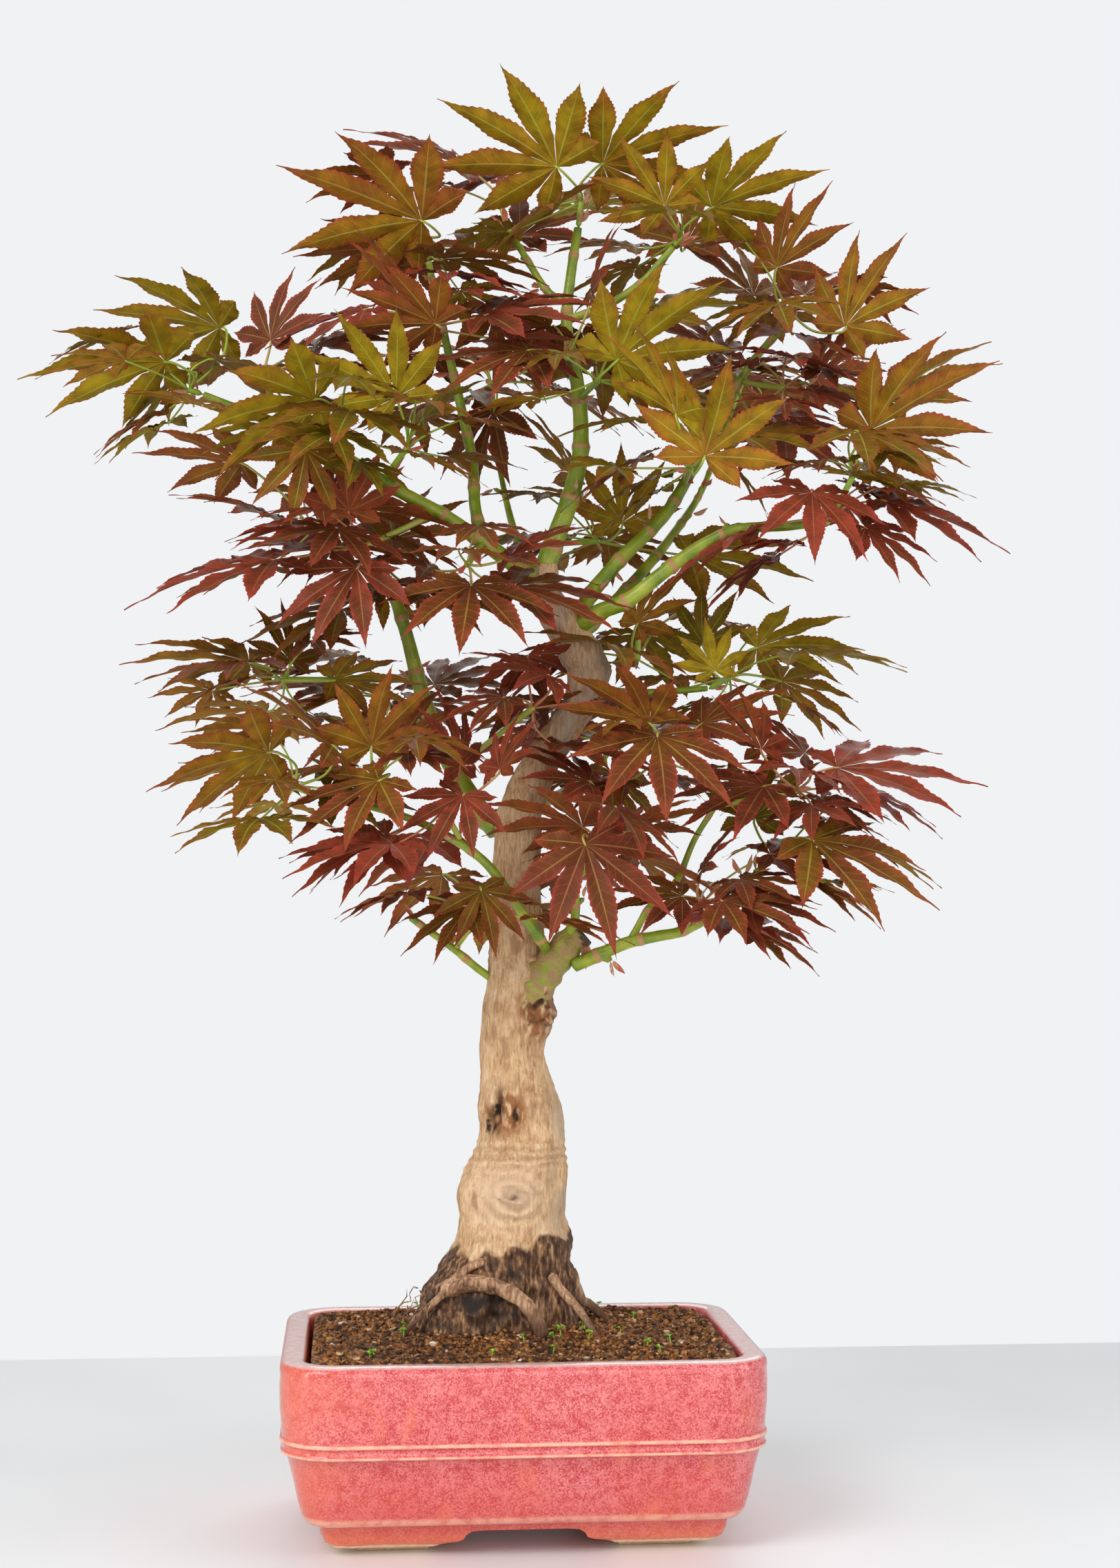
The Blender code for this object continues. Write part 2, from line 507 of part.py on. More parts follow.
def make_screens(parts, helpers):
    """A square of plastic mesh over each drain hole."""
    screens = []
    pitch = (SCREEN_SIZE - SCREEN_BAR) / SCREEN_HOLES
    plastic = material("screen plastic", (0.03, 0.03, 0.035), 0.5)
    for side, label in ((-1, "left"), (1, "right")):
        bm = bmesh.new()
        bmesh.ops.create_grid(bm, x_segments=2 * SCREEN_HOLES + 1,
                              y_segments=2 * SCREEN_HOLES + 1, size=0.5)
        lines = [0.0]
        for _ in range(SCREEN_HOLES):
            lines += [lines[-1] + SCREEN_BAR, lines[-1] + pitch]
        lines.append(SCREEN_SIZE)
        count = 2 * SCREEN_HOLES + 1
        for vert in bm.verts:
            column = round((vert.co.x + 0.5) * count)
            row = round((vert.co.y + 0.5) * count)
            vert.co.x = lines[column] - SCREEN_SIZE / 2
            vert.co.y = lines[row] - SCREEN_SIZE / 2
        windows = []
        for face in bm.faces:
            wide = max(e.calc_length() for e in face.edges)
            thin = min(e.calc_length() for e in face.edges)
            if thin > 1.5 * SCREEN_BAR and wide - thin < SCREEN_BAR:
                windows.append(face)
        bmesh.ops.delete(bm, geom=windows, context="FACES")
        sheet = bmesh.ops.extrude_face_region(bm, geom=list(bm.faces))
        lifted = [g for g in sheet["geom"] if isinstance(g, bmesh.types.BMVert)]
        bmesh.ops.translate(bm, verts=lifted, vec=(0, 0, SCREEN_THICKNESS))
        floor = FOOT_HEIGHT + FLOOR + GAP
        bmesh.ops.translate(bm, verts=bm.verts, vec=(side * DRAIN_SPACING / 2, 0, floor))
        mesh = mesh_from("drain_screen_" + label, bm)
        screens.append(add_object("drain_screen_" + label, mesh, plastic, parts))
    return screens


# ---------------------------------------------------------------- soil


def soil_height(x, y):
    """Level near the wall, heaped towards the trunk, with small lumps."""
    level = POT_HEIGHT - SOIL_BELOW_RIM
    reach = ((x + 0.010) / MOUND_REACH_X) ** 2 + (y / MOUND_REACH_Y) ** 2
    mound = MOUND_HEIGHT * math.exp(-1.6 * reach)
    side = 0.006 * math.exp(-(((x - 0.052) / 0.016) ** 2 + ((y + 0.004) / 0.02) ** 2))
    lumps = 0.0016 * noise.noise(Vector((x, y, 0.0)) * 60)
    return level + mound + side + lumps


def make_soil(parts, helpers, trunk):
    floor = FOOT_HEIGHT + FLOOR + GAP
    rings = []
    for z in (floor, floor + 0.006):
        inset = wall_inset(z) + (0.0045 if z == floor else 0.0) + 2 * GAP
        rings.append(rounded_rectangle(inset, z, POT_WIDTH, POT_DEPTH, POT_CORNER))
    edge_inset = wall_inset(POT_HEIGHT - SOIL_BELOW_RIM) + 4 * GAP
    edge = rounded_rectangle(edge_inset, 0.0, POT_WIDTH, POT_DEPTH, POT_CORNER)
    for share in (1.0, 0.84, 0.66, 0.48, 0.30, 0.12):
        ring = []
        for point in edge:
            x, y = point.x * share - 0.008 * (1 - share), point.y * share
            ring.append(Vector((x, y, soil_height(x, y))))
        rings.append(ring)
    soil = add_object("soil", loft("soil", rings), material("soil", (0.12, 0.06, 0.03), 0.95), parts)
    for side in (-1, 1):
        size = SCREEN_SIZE + 4 * GAP
        height = SCREEN_THICKNESS + GAP
        bpy.ops.mesh.primitive_cube_add(size=1, location=(side * DRAIN_SPACING / 2, 0, floor))
        recess = bpy.context.object
        recess.name = "screen_recess"
        recess.data.transform(Matrix.Diagonal((size, size, 2 * height, 1)))
        move_to(recess, helpers)
        cut(soil, recess)
    pocket = add_object("root_pocket", trunk.data.copy(), trunk.data.materials[0], helpers)
    spread = pocket.modifiers.new("Clearance", "DISPLACE")
    spread.strength = 2 * GAP
    spread.mid_level = 0.0
    cut(soil, pocket)
    return soil


# ---------------------------------------------------------------- wood and stems


def grown(x, y, z):
    """A point of the tree, from centimetres, with the crown's overall sizes."""
    rise = z - PLANTED_AT
    if rise > 0:
        rise *= TREE_HEIGHT
    return Vector((x * TREE_SPREAD, y * TREE_SPREAD, rise)) * CM + Vector((0, 0, POT_HEIGHT))


def smooth_route(points, step):
    """Points a step apart on a smooth curve through the given ones."""
    padded = [points[0] * 2 - points[1], *points, points[-1] * 2 - points[-2]]
    route = []
    for a, b, c, d in zip(padded, padded[1:], padded[2:], padded[3:]):
        count = max(1, round((c - b).length / step))
        for i in range(count):
            t = i / count
            route.append(0.5 * (2 * b + (c - a) * t + (2 * a - 5 * b + 4 * c - d) * t * t
                                + (3 * b - a - 3 * c + d) * t ** 3))
    route.append(points[-1].copy())
    return route


def tube(name, points, radii, finish, collection, resolution=1):
    """A bevelled curve through the points, made a closed mesh."""
    curve = bpy.data.curves.new(name, "CURVE")
    curve.dimensions = "3D"
    curve.bevel_depth = 1.0
    curve.bevel_resolution = resolution
    curve.use_fill_caps = True
    spline = curve.splines.new("POLY")
    spline.points.add(len(points) - 1)
    for place, point, radius in zip(spline.points, points, radii):
        place.co = (*point, 1.0)
        place.radius = radius
    holder = bpy.data.objects.new(name, curve)
    collection.objects.link(holder)
    bpy.context.view_layer.update()
    depsgraph = bpy.context.evaluated_depsgraph_get()
    mesh = bpy.data.meshes.new_from_object(holder.evaluated_get(depsgraph))
    bpy.data.objects.remove(holder, do_unlink=True)
    bm = bmesh.new()
    bm.from_mesh(mesh)
    bmesh.ops.remove_doubles(bm, verts=bm.verts, dist=1e-6)
    bpy.data.meshes.remove(mesh)
    made = add_object(name, mesh_from(name, bm), finish, collection)
    made.data.shade_smooth()
    return made


def make_trunk(parts, helpers):
    rings = []
    for x, y, z, half_width, half_depth in TRUNK:
        centre = grown(x, y, z)
        root = max(0.0, 1 - max(0.0, z - 9.5) / 4.0)
        ring = []
        for i in range(TRUNK_SIDES):
            angle = 2 * math.pi * i / TRUNK_SIDES
            flare = 1 + 0.16 * root * math.cos(3 * angle + 0.6) + 0.03 * math.sin(5 * angle + z)
            across = half_width * CM * TRUNK_THICKNESS * flare * math.cos(angle)
            along = half_depth * CM * TRUNK_THICKNESS * flare * math.sin(angle)
            ring.append(centre + Vector((across, along, 0.0)))
        rings.append(ring)
    bark = material("bark", (0.62, 0.42, 0.26), 0.85)
    trunk = add_object("trunk", loft("trunk", rings), bark, parts)
    stub = tube("stub", [grown(*p) for p in STUB],
                [r * CM * TRUNK_THICKNESS for r in STUB_RADII], bark, helpers, 1)
    cut(trunk, stub, "UNION")
    trunk.data.shade_smooth()
    return trunk


def off_surface(tree, point, radius, direction):
    """Slide a butt end out along its stem until its whole rim clears the host."""
    side = direction.orthogonal().normalized()
    rim = [Matrix.Rotation(math.radians(a), 3, direction) @ side * radius * share
           for share in (0.4, 0.7, 1.0) for a in range(0, 360, 45)]
    step = GAP / 2
    for k in range(400):
        centre = point + direction * (k * step)
        clear = True
        for offset in [Vector(), *rim]:
            spot = centre + offset
            near, normal, _, distance = tree.find_nearest(spot)
            if distance < GAP or (spot - near).dot(normal) < 0:
                clear = False
                break
        if clear:
            return centre
    return point


def make_stems(parts, trunk):
    """Each stem starts against the piece that it grows from."""
    green = material("green stem", (0.26, 0.42, 0.03), 0.45)
    pieces = {"trunk": trunk}
    for name, (host, thick, thin, route) in STEMS.items():
        points = smooth_route([grown(*p) for p in route], 0.014)
        radius = thick * CM * STEM_THICKNESS
        heading = (points[1] - points[0]).normalized()
        host_tree = tree_of(pieces[host])
        start = off_surface(host_tree, points[0], radius * 1.1, heading)
        covered = (start - points[0]).length
        kept = [p for p in points[1:] if (p - points[0]).length > covered + 0.004]
        points = [start, *kept]
        count = len(points) - 1
        radii = [(thick + (thin - thick) * i / count) * CM * STEM_THICKNESS
                 for i in range(count + 1)]
        pieces[name] = tube(name, points, radii, green, parts)
        while tree_of(pieces[name]).overlap(host_tree):
            bpy.data.objects.remove(pieces[name], do_unlink=True)
            points[0] = points[0] + heading * GAP
            pieces[name] = tube(name, points, radii, green, parts)
        pieces[name]["route"] = [c for p in points for c in p]
    return pieces


def point_on(stem, share):
    """The point a share of the way along a stem's route."""
    flat = list(stem["route"])
    points = [Vector(flat[i:i + 3]) for i in range(0, len(flat), 3)]
    spot = share * (len(points) - 1)
    index = min(int(spot), len(points) - 2)
    return points[index].lerp(points[index + 1], spot - index)


# ---------------------------------------------------------------- leaves


def from_elevation(x, z, depth):
    """A place in the crown, from its centimetres in the front elevation."""
    scale = 1 + depth * CM / VIEW_DISTANCE
    view = VIEW_HEIGHT / CM
    return grown(x * scale, depth, view + (z - view) * scale)


def blade_axes(turn, lean, roll):
    """Directions of the middle lobe and of the upper face."""
    turn, lean, roll = (math.radians(v) for v in (turn, lean, roll))
    aim = Vector((math.cos(turn) * math.cos(lean), -math.sin(lean),
                  math.sin(turn) * math.cos(lean))).normalized()
    up = Vector((0, 0, 1))
    face = (up - aim * up.dot(aim)).normalized()
    across = aim.cross(face)
    if across.y > 0:
        across = -across
    return aim, (face * math.cos(roll) + across * math.sin(roll)).normalized()


def leaf_skin(bm, hub, aim, face, size, knot):
    """A blade with seven pointed lobes on its stalk, thickest at the hub."""
    side = aim.cross(face)
    back = [hub - aim * (0.06 * size), hub.lerp(knot, 0.45) - aim * (0.12 * size), knot]

    def on_blade(angle, reach):
        angle = math.radians(angle)
        flat = aim * math.cos(angle) + side * math.sin(angle)
        return hub + (flat * reach - face * LEAF_DROOP * reach * reach) * size

    rim = []
    for k, (angle, length) in enumerate(zip(LOBE_ANGLES, LOBE_LENGTHS)):
        rim.append(bm.verts.new(on_blade(angle, length)))
        if k < len(LOBE_ANGLES) - 1:
            middle = (angle + LOBE_ANGLES[k + 1]) / 2
            rim.append(bm.verts.new(on_blade(middle, NOTCH_RADIUS)))
    rings = []
    forward, left, top = aim, -side * PETIOLE_RADIUS, face * PETIOLE_RADIUS
    for ahead, point in zip([hub, *back], back):
        bend = forward.rotation_difference(ahead - point)
        forward, left, top = bend @ forward, bend @ left, bend @ top
        rings.append([bm.verts.new(point + v) for v in (left, top, -left, -top)])
    above = bm.verts.new(hub + face * (0.65 * LEAF_THICKNESS))
    below = bm.verts.new(hub - face * (0.35 * LEAF_THICKNESS))
    first, top, last, bottom = rings[0]
    edge = [first, *rim, last]
    for near, far in zip(edge, edge[1:]):
        bm.faces.new((above, near, far))
        bm.faces.new((below, far, near))
    bm.faces.new((above, edge[-1], top))
    bm.faces.new((above, top, edge[0]))
    bm.faces.new((below, bottom, edge[-1]))
    bm.faces.new((below, edge[0], bottom))
    for outer, inner in zip(rings, rings[1:]):
        for i in range(4):
            j = (i + 1) % 4
            bm.faces.new((outer[i], outer[j], inner[j], inner[i]))
    bm.faces.new(rings[-1])


def swings():
    """Turns to try for a leaf, from none at all to a wide one."""
    steps = [(yaw, pitch) for yaw in range(-120, 121, 6) for pitch in range(-60, 61, 6)]
    steps.sort(key=lambda s: (math.hypot(*s), s))
    for yaw, pitch in steps:
        yield (Matrix.Rotation(math.radians(yaw), 4, "Z")
               @ Matrix.Rotation(math.radians(pitch), 4, "Y"))


def leaf_trees(mesh):
    """Search trees of a whole leaf, and of the leaf without its stalk's end."""
    points = [v.co for v in mesh.vertices]
    faces = [list(p.vertices) for p in mesh.polygons]
    stalk_end = set(range(len(points) - 6, len(points) - 2))
    free = [f for f in faces if not stalk_end.intersection(f)]
    return (BVHTree.FromPolygons(points, faces, epsilon=CLEARANCE),
            BVHTree.FromPolygons(points, free, epsilon=CLEARANCE))


def place_leaf(name, knot, leaf, placed, rod_tree, sisters):
    """Swing one leaf about its knot until it is clear of all that is placed.

    A leaf that is hemmed in at every turn is drawn younger and smaller.
    """
    x, z, depth, turn, lean, roll, size = leaf
    aim, face = blade_axes(turn, lean, roll)
    hub = from_elevation(x, z, depth)
    for growth in (1.0, 0.85, 0.7, 0.55, 0.4):
        for swing in swings():
            bm = bmesh.new()
            leaf_skin(bm, hub, aim, face, size * growth * CM * LEAF_SIZE, knot)
            about = Matrix.Translation(knot) @ swing @ Matrix.Translation(-knot)
            bmesh.ops.transform(bm, matrix=about, verts=bm.verts)
            mesh = mesh_from(name, bm)
            whole, free = leaf_trees(mesh)
            if not (free.overlap(rod_tree) or any(whole.overlap(t) for t in placed)
                    or any(free.overlap(w) or whole.overlap(f) for w, f in sisters)):
                return mesh, (whole, free)
    return mesh, (whole, free)


def make_shoots(parts, helpers, pieces, others):
    """All the shoots' rods first, then their leaves, each clear of the rest."""
    leafy = material("leaf", (0.22, 0.16, 0.05), 0.5)
    solid = [tree_of(item) for item in [*pieces.values(), *others]]
    rods, knots = {}, {}
    for name, (host, share, knot, _) in SHOOTS.items():
        knots[name] = from_elevation(*knot)
        root = point_on(pieces[host], share)
        heading = (knots[name] - root).normalized()
        base = off_surface(tree_of(pieces[host]), root, SHOOT_RADIUS * 1.3, heading)
        end = knots[name] + heading * SHOOT_RADIUS
        rods[name] = tube(name, [base, base.lerp(knots[name], 0.6), end],
                          [SHOOT_RADIUS * 1.1, SHOOT_RADIUS, SHOOT_RADIUS * 1.4], leafy, parts)
    rod_trees = {name: tree_of(rod) for name, rod in rods.items()}
    leaf_pairs = {name: [] for name in SHOOTS}
    for name, (_, _, _, leaves) in SHOOTS.items():
        placed = solid + [t for other, t in rod_trees.items() if other != name]
        placed += [pair[0] for other, pairs in leaf_pairs.items() if other != name
                   for pair in pairs]
        for leaf in leaves:
            mesh, pair = place_leaf(name + "_leaf", knots[name], leaf, placed,
                                    rod_trees[name], leaf_pairs[name])
            leaf_pairs[name].append(pair)
            blade = add_object(name + "_leaf", mesh, leafy, helpers)
            cut(rods[name], blade, "UNION")
            bpy.data.objects.remove(blade, do_unlink=True)
        rods[name].data.materials.clear()
        rods[name].data.materials.append(leafy)


def centre_on_origin(items):
    """Move everything so that the whole object's box stands centred on the origin."""
    corners = [v.co for item in items for v in item.data.vertices]
    middle = Vector(((min(c.x for c in corners) + max(c.x for c in corners)) / 2,
                     (min(c.y for c in corners) + max(c.y for c in corners)) / 2, 0.0))
    middle = Vector(round(v, 3) for v in middle)
    for item in items:
        item.data.transform(item.matrix_world)
        item.matrix_world = Matrix.Identity(4)
        item.data.transform(Matrix.Translation(-middle))


clear_scene()
tree_parts = new_collection("maple bonsai")
helper_parts = new_collection("cutters")
pot_piece = make_pot(tree_parts, helper_parts)
screen_pieces = make_screens(tree_parts, helper_parts)
trunk_piece = make_trunk(tree_parts, helper_parts)
soil_piece = make_soil(tree_parts, helper_parts, trunk_piece)
stem_pieces = make_stems(tree_parts, trunk_piece)
make_shoots(tree_parts, helper_parts, stem_pieces, [pot_piece, soil_piece])
for leftover in list(helper_parts.objects):
    bpy.data.objects.remove(leftover, do_unlink=True)
centre_on_origin(list(tree_parts.objects))
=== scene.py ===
import json
import math
import random

import bmesh
import bpy
from mathutils import Matrix, Vector, noise
from mathutils.bvhtree import BVHTree


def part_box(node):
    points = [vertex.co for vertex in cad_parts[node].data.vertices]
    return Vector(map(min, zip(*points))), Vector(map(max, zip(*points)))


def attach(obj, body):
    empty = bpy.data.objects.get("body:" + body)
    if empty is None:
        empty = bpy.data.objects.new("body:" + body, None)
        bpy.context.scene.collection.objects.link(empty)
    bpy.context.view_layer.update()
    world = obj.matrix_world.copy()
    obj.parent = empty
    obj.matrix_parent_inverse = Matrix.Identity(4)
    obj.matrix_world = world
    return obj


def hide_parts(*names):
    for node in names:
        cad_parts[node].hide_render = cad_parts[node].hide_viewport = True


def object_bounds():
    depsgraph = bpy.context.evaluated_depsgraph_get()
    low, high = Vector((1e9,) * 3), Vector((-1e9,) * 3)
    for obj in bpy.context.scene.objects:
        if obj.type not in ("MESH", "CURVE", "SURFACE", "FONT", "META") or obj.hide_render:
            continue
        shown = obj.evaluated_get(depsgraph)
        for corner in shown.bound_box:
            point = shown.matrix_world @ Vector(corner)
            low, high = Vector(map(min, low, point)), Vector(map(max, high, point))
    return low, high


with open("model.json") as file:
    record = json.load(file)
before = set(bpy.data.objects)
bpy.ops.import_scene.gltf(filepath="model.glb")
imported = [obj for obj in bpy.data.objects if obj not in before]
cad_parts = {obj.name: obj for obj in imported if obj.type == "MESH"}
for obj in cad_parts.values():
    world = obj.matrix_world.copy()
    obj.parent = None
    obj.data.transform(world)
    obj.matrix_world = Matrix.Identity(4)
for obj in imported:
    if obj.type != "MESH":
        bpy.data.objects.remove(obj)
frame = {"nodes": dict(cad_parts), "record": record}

cad_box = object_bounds()

# ---------------------------------------------------------------- studio
# A pale table that ends a hand's breadth behind the pot, with soft white light all
# round it and one large soft lamp high on the left front for the shine on the glaze.

CM = 0.01
pot_low, pot_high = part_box("pot")
pot_middle = (pot_low + pot_high) / 2

camera_data = bpy.data.cameras.new("camera")
camera_data.sensor_fit = "VERTICAL"
camera_data.sensor_height = 36
camera_data.lens = 55.4
camera = bpy.data.objects.new("camera", camera_data)
camera.location = (pot_middle.x - 0.077, pot_middle.y - 1.150, 0.293)
camera.rotation_euler = (math.radians(92.67), 0, math.radians(-4.85))
bpy.context.scene.collection.objects.link(camera)
bpy.context.scene.camera = camera
bpy.context.scene.view_settings.view_transform = "Standard"

world = bpy.data.worlds.new("studio")
world.use_nodes = True
world.node_tree.nodes["Background"].inputs["Color"].default_value = (0.90, 0.915, 0.93, 1)
seen = world.node_tree.nodes.new("ShaderNodeLightPath").outputs["Is Camera Ray"]
strength = world.node_tree.nodes.new("ShaderNodeMapRange")
strength.inputs["To Min"].default_value = 0.56
strength.inputs["To Max"].default_value = 0.97
world.node_tree.links.new(seen, strength.inputs["Value"])
world.node_tree.links.new(strength.outputs["Result"],
                          world.node_tree.nodes["Background"].inputs["Strength"])
bpy.context.scene.world = world

crown_middle = Vector((0, 0, 0.42))
for name, place, size, power in (
        ("key", (-1.3, -1.5, 1.7), 1.1, 31), ("fill", (1.5, -1.3, 0.9), 1.2, 8),
        ("front", (0.1, -2.2, 0.5), 1.0, 7), ("back", (0.4, 1.8, 1.5), 1.4, 14)):
    lamp_data = bpy.data.lights.new(name, "AREA")
    lamp_data.size = size
    lamp_data.energy = power
    lamp = bpy.data.objects.new(name, lamp_data)
    lamp.location = place
    lamp.rotation_euler = (crown_middle - lamp.location).to_track_quat("-Z", "Y").to_euler()
    bpy.context.scene.collection.objects.link(lamp)
for name, place, power in (("left_strip", (-0.95, -0.55, 0.30), 2.0),
                           ("right_strip", (0.90, -0.35, 0.30), 1.3)):
    lamp_data = bpy.data.lights.new(name, "AREA")
    lamp_data.shape = "RECTANGLE"
    lamp_data.size = 0.12
    lamp_data.size_y = 0.9
    lamp_data.energy = power
    lamp = bpy.data.objects.new(name, lamp_data)
    lamp.location = place
    lamp.rotation_euler = (Vector((pot_middle.x, pot_middle.y, place[2]))
                           - lamp.location).to_track_quat("-Z", "Y").to_euler()
    bpy.context.scene.collection.objects.link(lamp)


def put(tree, kind, sockets=None, **settings):
    """A new shader node with its settings, and its inputs joined or set."""
    node = tree.nodes.new("ShaderNode" + kind)
    for key, value in settings.items():
        setattr(node, key, value)
    for socket, value in (sockets or {}).items():
        if isinstance(value, bpy.types.NodeSocket):
            tree.links.new(value, node.inputs[socket])
        else:
            node.inputs[socket].default_value = value
    return node


def ramp(tree, factor, *stops):
    """The colour at a factor, between (place, colour) stops."""
    node = put(tree, "ValToRGB", {"Fac": factor})
    marks = node.color_ramp.elements
    marks[0].position, marks[1].position = stops[0][0], stops[-1][0]
    marks[0].color, marks[1].color = (*stops[0][1], 1), (*stops[-1][1], 1)
    for place, colour in stops[1:-1]:
        marks.new(place).color = (*colour, 1)
    return node.outputs["Color"]


def steps(tree, factor, low, high, start=0.0, end=1.0):
    """A value that goes smoothly from start to end as the factor goes from low to high."""
    return put(tree, "MapRange", {"Value": factor, "From Min": low, "From Max": high,
                                  "To Min": start, "To Max": end},
               interpolation_type="SMOOTHSTEP").outputs["Result"]


def maths(tree, operation, *values):
    """One sum on the values."""
    return put(tree, "Math", dict(enumerate(values)), operation=operation).outputs[0]


def blend(tree, factor, first, second):
    """Two colours mixed."""
    first, second = (v if isinstance(v, bpy.types.NodeSocket) else (*v, 1) for v in (first, second))
    return put(tree, "Mix", {0: factor, 6: first, 7: second}, data_type="RGBA").outputs[2]


def cloud(tree, where, scale, detail=3, stretch=(1, 1, 1), rough=0.5, twist=0.0):
    """Noise that runs over the piece, drawn out along the axes by the stretch."""
    spot = put(tree, "Mapping", {"Vector": where, "Scale": stretch}).outputs[0]
    return put(tree, "TexNoise", {"Vector": spot, "Scale": scale, "Detail": detail,
                                  "Roughness": rough, "Distortion": twist}).outputs["Fac"]


def own(tree, name):
    """A value kept on the piece's own points."""
    return put(tree, "Attribute", attribute_name=name).outputs["Fac"]


def finish(name):
    """A new material: its tree, its shader and its object coordinates."""
    made = bpy.data.materials.new(name)
    made.use_nodes = True
    tree = made.node_tree
    where = put(tree, "TexCoord").outputs["Object"]
    return made, tree, tree.nodes["Principled BSDF"], where


def dress(tree, shader, colour=None, rough=None, height=None, bump=0.5, depth=0.001):
    """Joins the colour, the roughness and the surface height to the shader."""
    if colour is not None:
        tree.links.new(colour, shader.inputs["Base Color"])
    if rough is not None:
        tree.links.new(rough, shader.inputs["Roughness"])
    if height is not None:
        raised = put(tree, "Bump", {"Height": height, "Strength": bump, "Distance": depth})
        tree.links.new(raised.outputs[0], shader.inputs["Normal"])


def seat(bm, name, paints, slot, *nodes):
    """Puts a finished piece in the row frame, in place of its CAD nodes."""
    mesh = bpy.data.meshes.new(name)
    bm.to_mesh(mesh)
    bm.free()
    piece = bpy.data.objects.new(name, mesh)
    bpy.context.scene.collection.objects.link(piece)
    for paint in paints:
        mesh.materials.append(paint)
    mesh.shade_smooth()
    if slot:
        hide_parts(*nodes)
        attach(piece, "root")
    return piece


table_paint, tree, shader, where = finish("table")
dress(tree, shader, ramp(tree, cloud(tree, where, 3), (0.3, (0.900, 0.915, 0.925)),
                         (0.7, (0.910, 0.925, 0.935))),
      steps(tree, cloud(tree, where, 9), 0.3, 0.7, 0.34, 0.38))
shader.inputs["Specular IOR Level"].default_value = 0.3
bm = bmesh.new()
bmesh.ops.create_cube(bm, size=1)
bmesh.ops.scale(bm, vec=(3.4, 2.6, 0.03), verts=bm.verts)
bmesh.ops.translate(bm, vec=(pot_middle.x, pot_middle.y + 0.42 - 1.3, -0.015), verts=bm.verts)
bmesh.ops.bevel(bm, geom=bm.edges, offset=0.004, segments=3, profile=0.5, affect="EDGES", material=-1)
table = seat(bm, "table", [table_paint], None)

# ---------------------------------------------------------------- pot
# A press-moulded stoneware pot with rounded corners, a raised band and four cloud
# feet, dipped in a mottled pink-red glaze that runs thin and pale on every edge.
# The feet end bare, where the glaze was wiped off before firing.

pot_size = pot_high - pot_low
CORNER = 0.026
FOOT = 0.0125
FRONT_GAP = 0.050
SIDE_GAP = 0.036
DRAIN_RADIUS = 0.0075
DRAIN_SPACING = 0.100


def outline_point(turn, inset):
    """The point a share of the way round a rounded rectangle, set in from the pot's outline."""
    radius = max(CORNER - inset, 0.004)
    half_x, half_y = pot_size.x / 2 - inset - radius, pot_size.y / 2 - inset - radius
    runs = (2 * half_y, math.pi * radius / 2, 2 * half_x, math.pi * radius / 2) * 2
    spot = (turn % 1.0) * sum(runs)
    heading = Vector((0, 1))
    point = Vector((half_x + radius, -half_y))
    for index, run in enumerate(runs):
        part = min(spot, run)
        if index % 2 == 0:
            point = point + heading * part
        else:
            left = Vector((-heading.y, heading.x))
            angle = part / radius
            point = point + radius * (heading * math.sin(angle) + left * (1 - math.cos(angle)))
            heading = heading * math.cos(angle) + left * math.sin(angle)
        spot -= part
        if spot <= 0:
            break
    return Vector((point.x + pot_middle.x, point.y + pot_middle.y, 0))


def sheet(bm, across, along, place):
    """A grid of quads added to bm, each point put where place says, from its shares across and along."""
    made = bmesh.ops.create_grid(bm, x_segments=across, y_segments=along, size=0.5)["verts"]
    for vert in made:
        vert.co = place(vert.co.x + 0.5, vert.co.y + 0.5)
    return made


def close(bm):
    """Joins the sheet's edges where they meet, and fills what is still open."""
    bmesh.ops.remove_doubles(bm, verts=bm.verts, dist=1e-6)
    bmesh.ops.holes_fill(bm, edges=[e for e in bm.edges if e.is_boundary])
    bmesh.ops.recalc_face_normals(bm, faces=bm.faces)


wall_section = [
    (0.0435, FOOT), (0.0432, 0.0008), (0.0424, 0.0), (0.0335, 0.0), (0.0325, 0.0004),
    (0.0318, 0.0014), (0.0245, 0.0034), (0.0205, 0.0064), (0.0190, 0.0095), (0.0182, FOOT + 0.0008),
    (0.0172, FOOT + 0.0018), (0.0148, FOOT + 0.0022), (0.0128, FOOT + 0.0030), (0.0112, FOOT + 0.0046),
    (0.0103, FOOT + 0.0066), (0.0096, FOOT + 0.0090), (0.0088, FOOT + 0.0115),
    (0.0062, 0.0355), (0.0036, 0.0452), (0.0026, 0.0462), (0.0014, 0.0466), (0.0008, 0.0472),
    (0.0008, 0.0480), (0.0014, 0.0487), (0.0015, 0.0505), (0.0012, 0.0512), (0.0005, 0.0517),
    (0.0003, 0.0525), (0.0005, 0.0533), (0.0014, 0.0541), (0.0012, 0.0580), (0.0004, 0.0660),
    (0.0002, 0.0760), (0.0005, 0.0806), (0.0003, 0.0826), (0.0005, 0.0845), (0.0012, 0.0858),
    (0.0024, 0.0867), (0.0040, 0.0870), (0.0086, 0.0870), (0.0103, 0.0867), (0.0113, 0.0860),
    (0.0118, 0.0848), (0.0121, 0.0820), (0.0135, 0.0700), (0.0170, 0.0300), (0.0200, 0.0230),
    (0.0250, 0.0206)]

bm = bmesh.new()


def pot_place(turn, share):
    """A point of the pot's skin: from under the wall, over the rim and down to the floor inside."""
    inset, height = wall_section[round(share * (len(wall_section) - 1))]
    return outline_point(turn, inset) + Vector((0, 0, height))


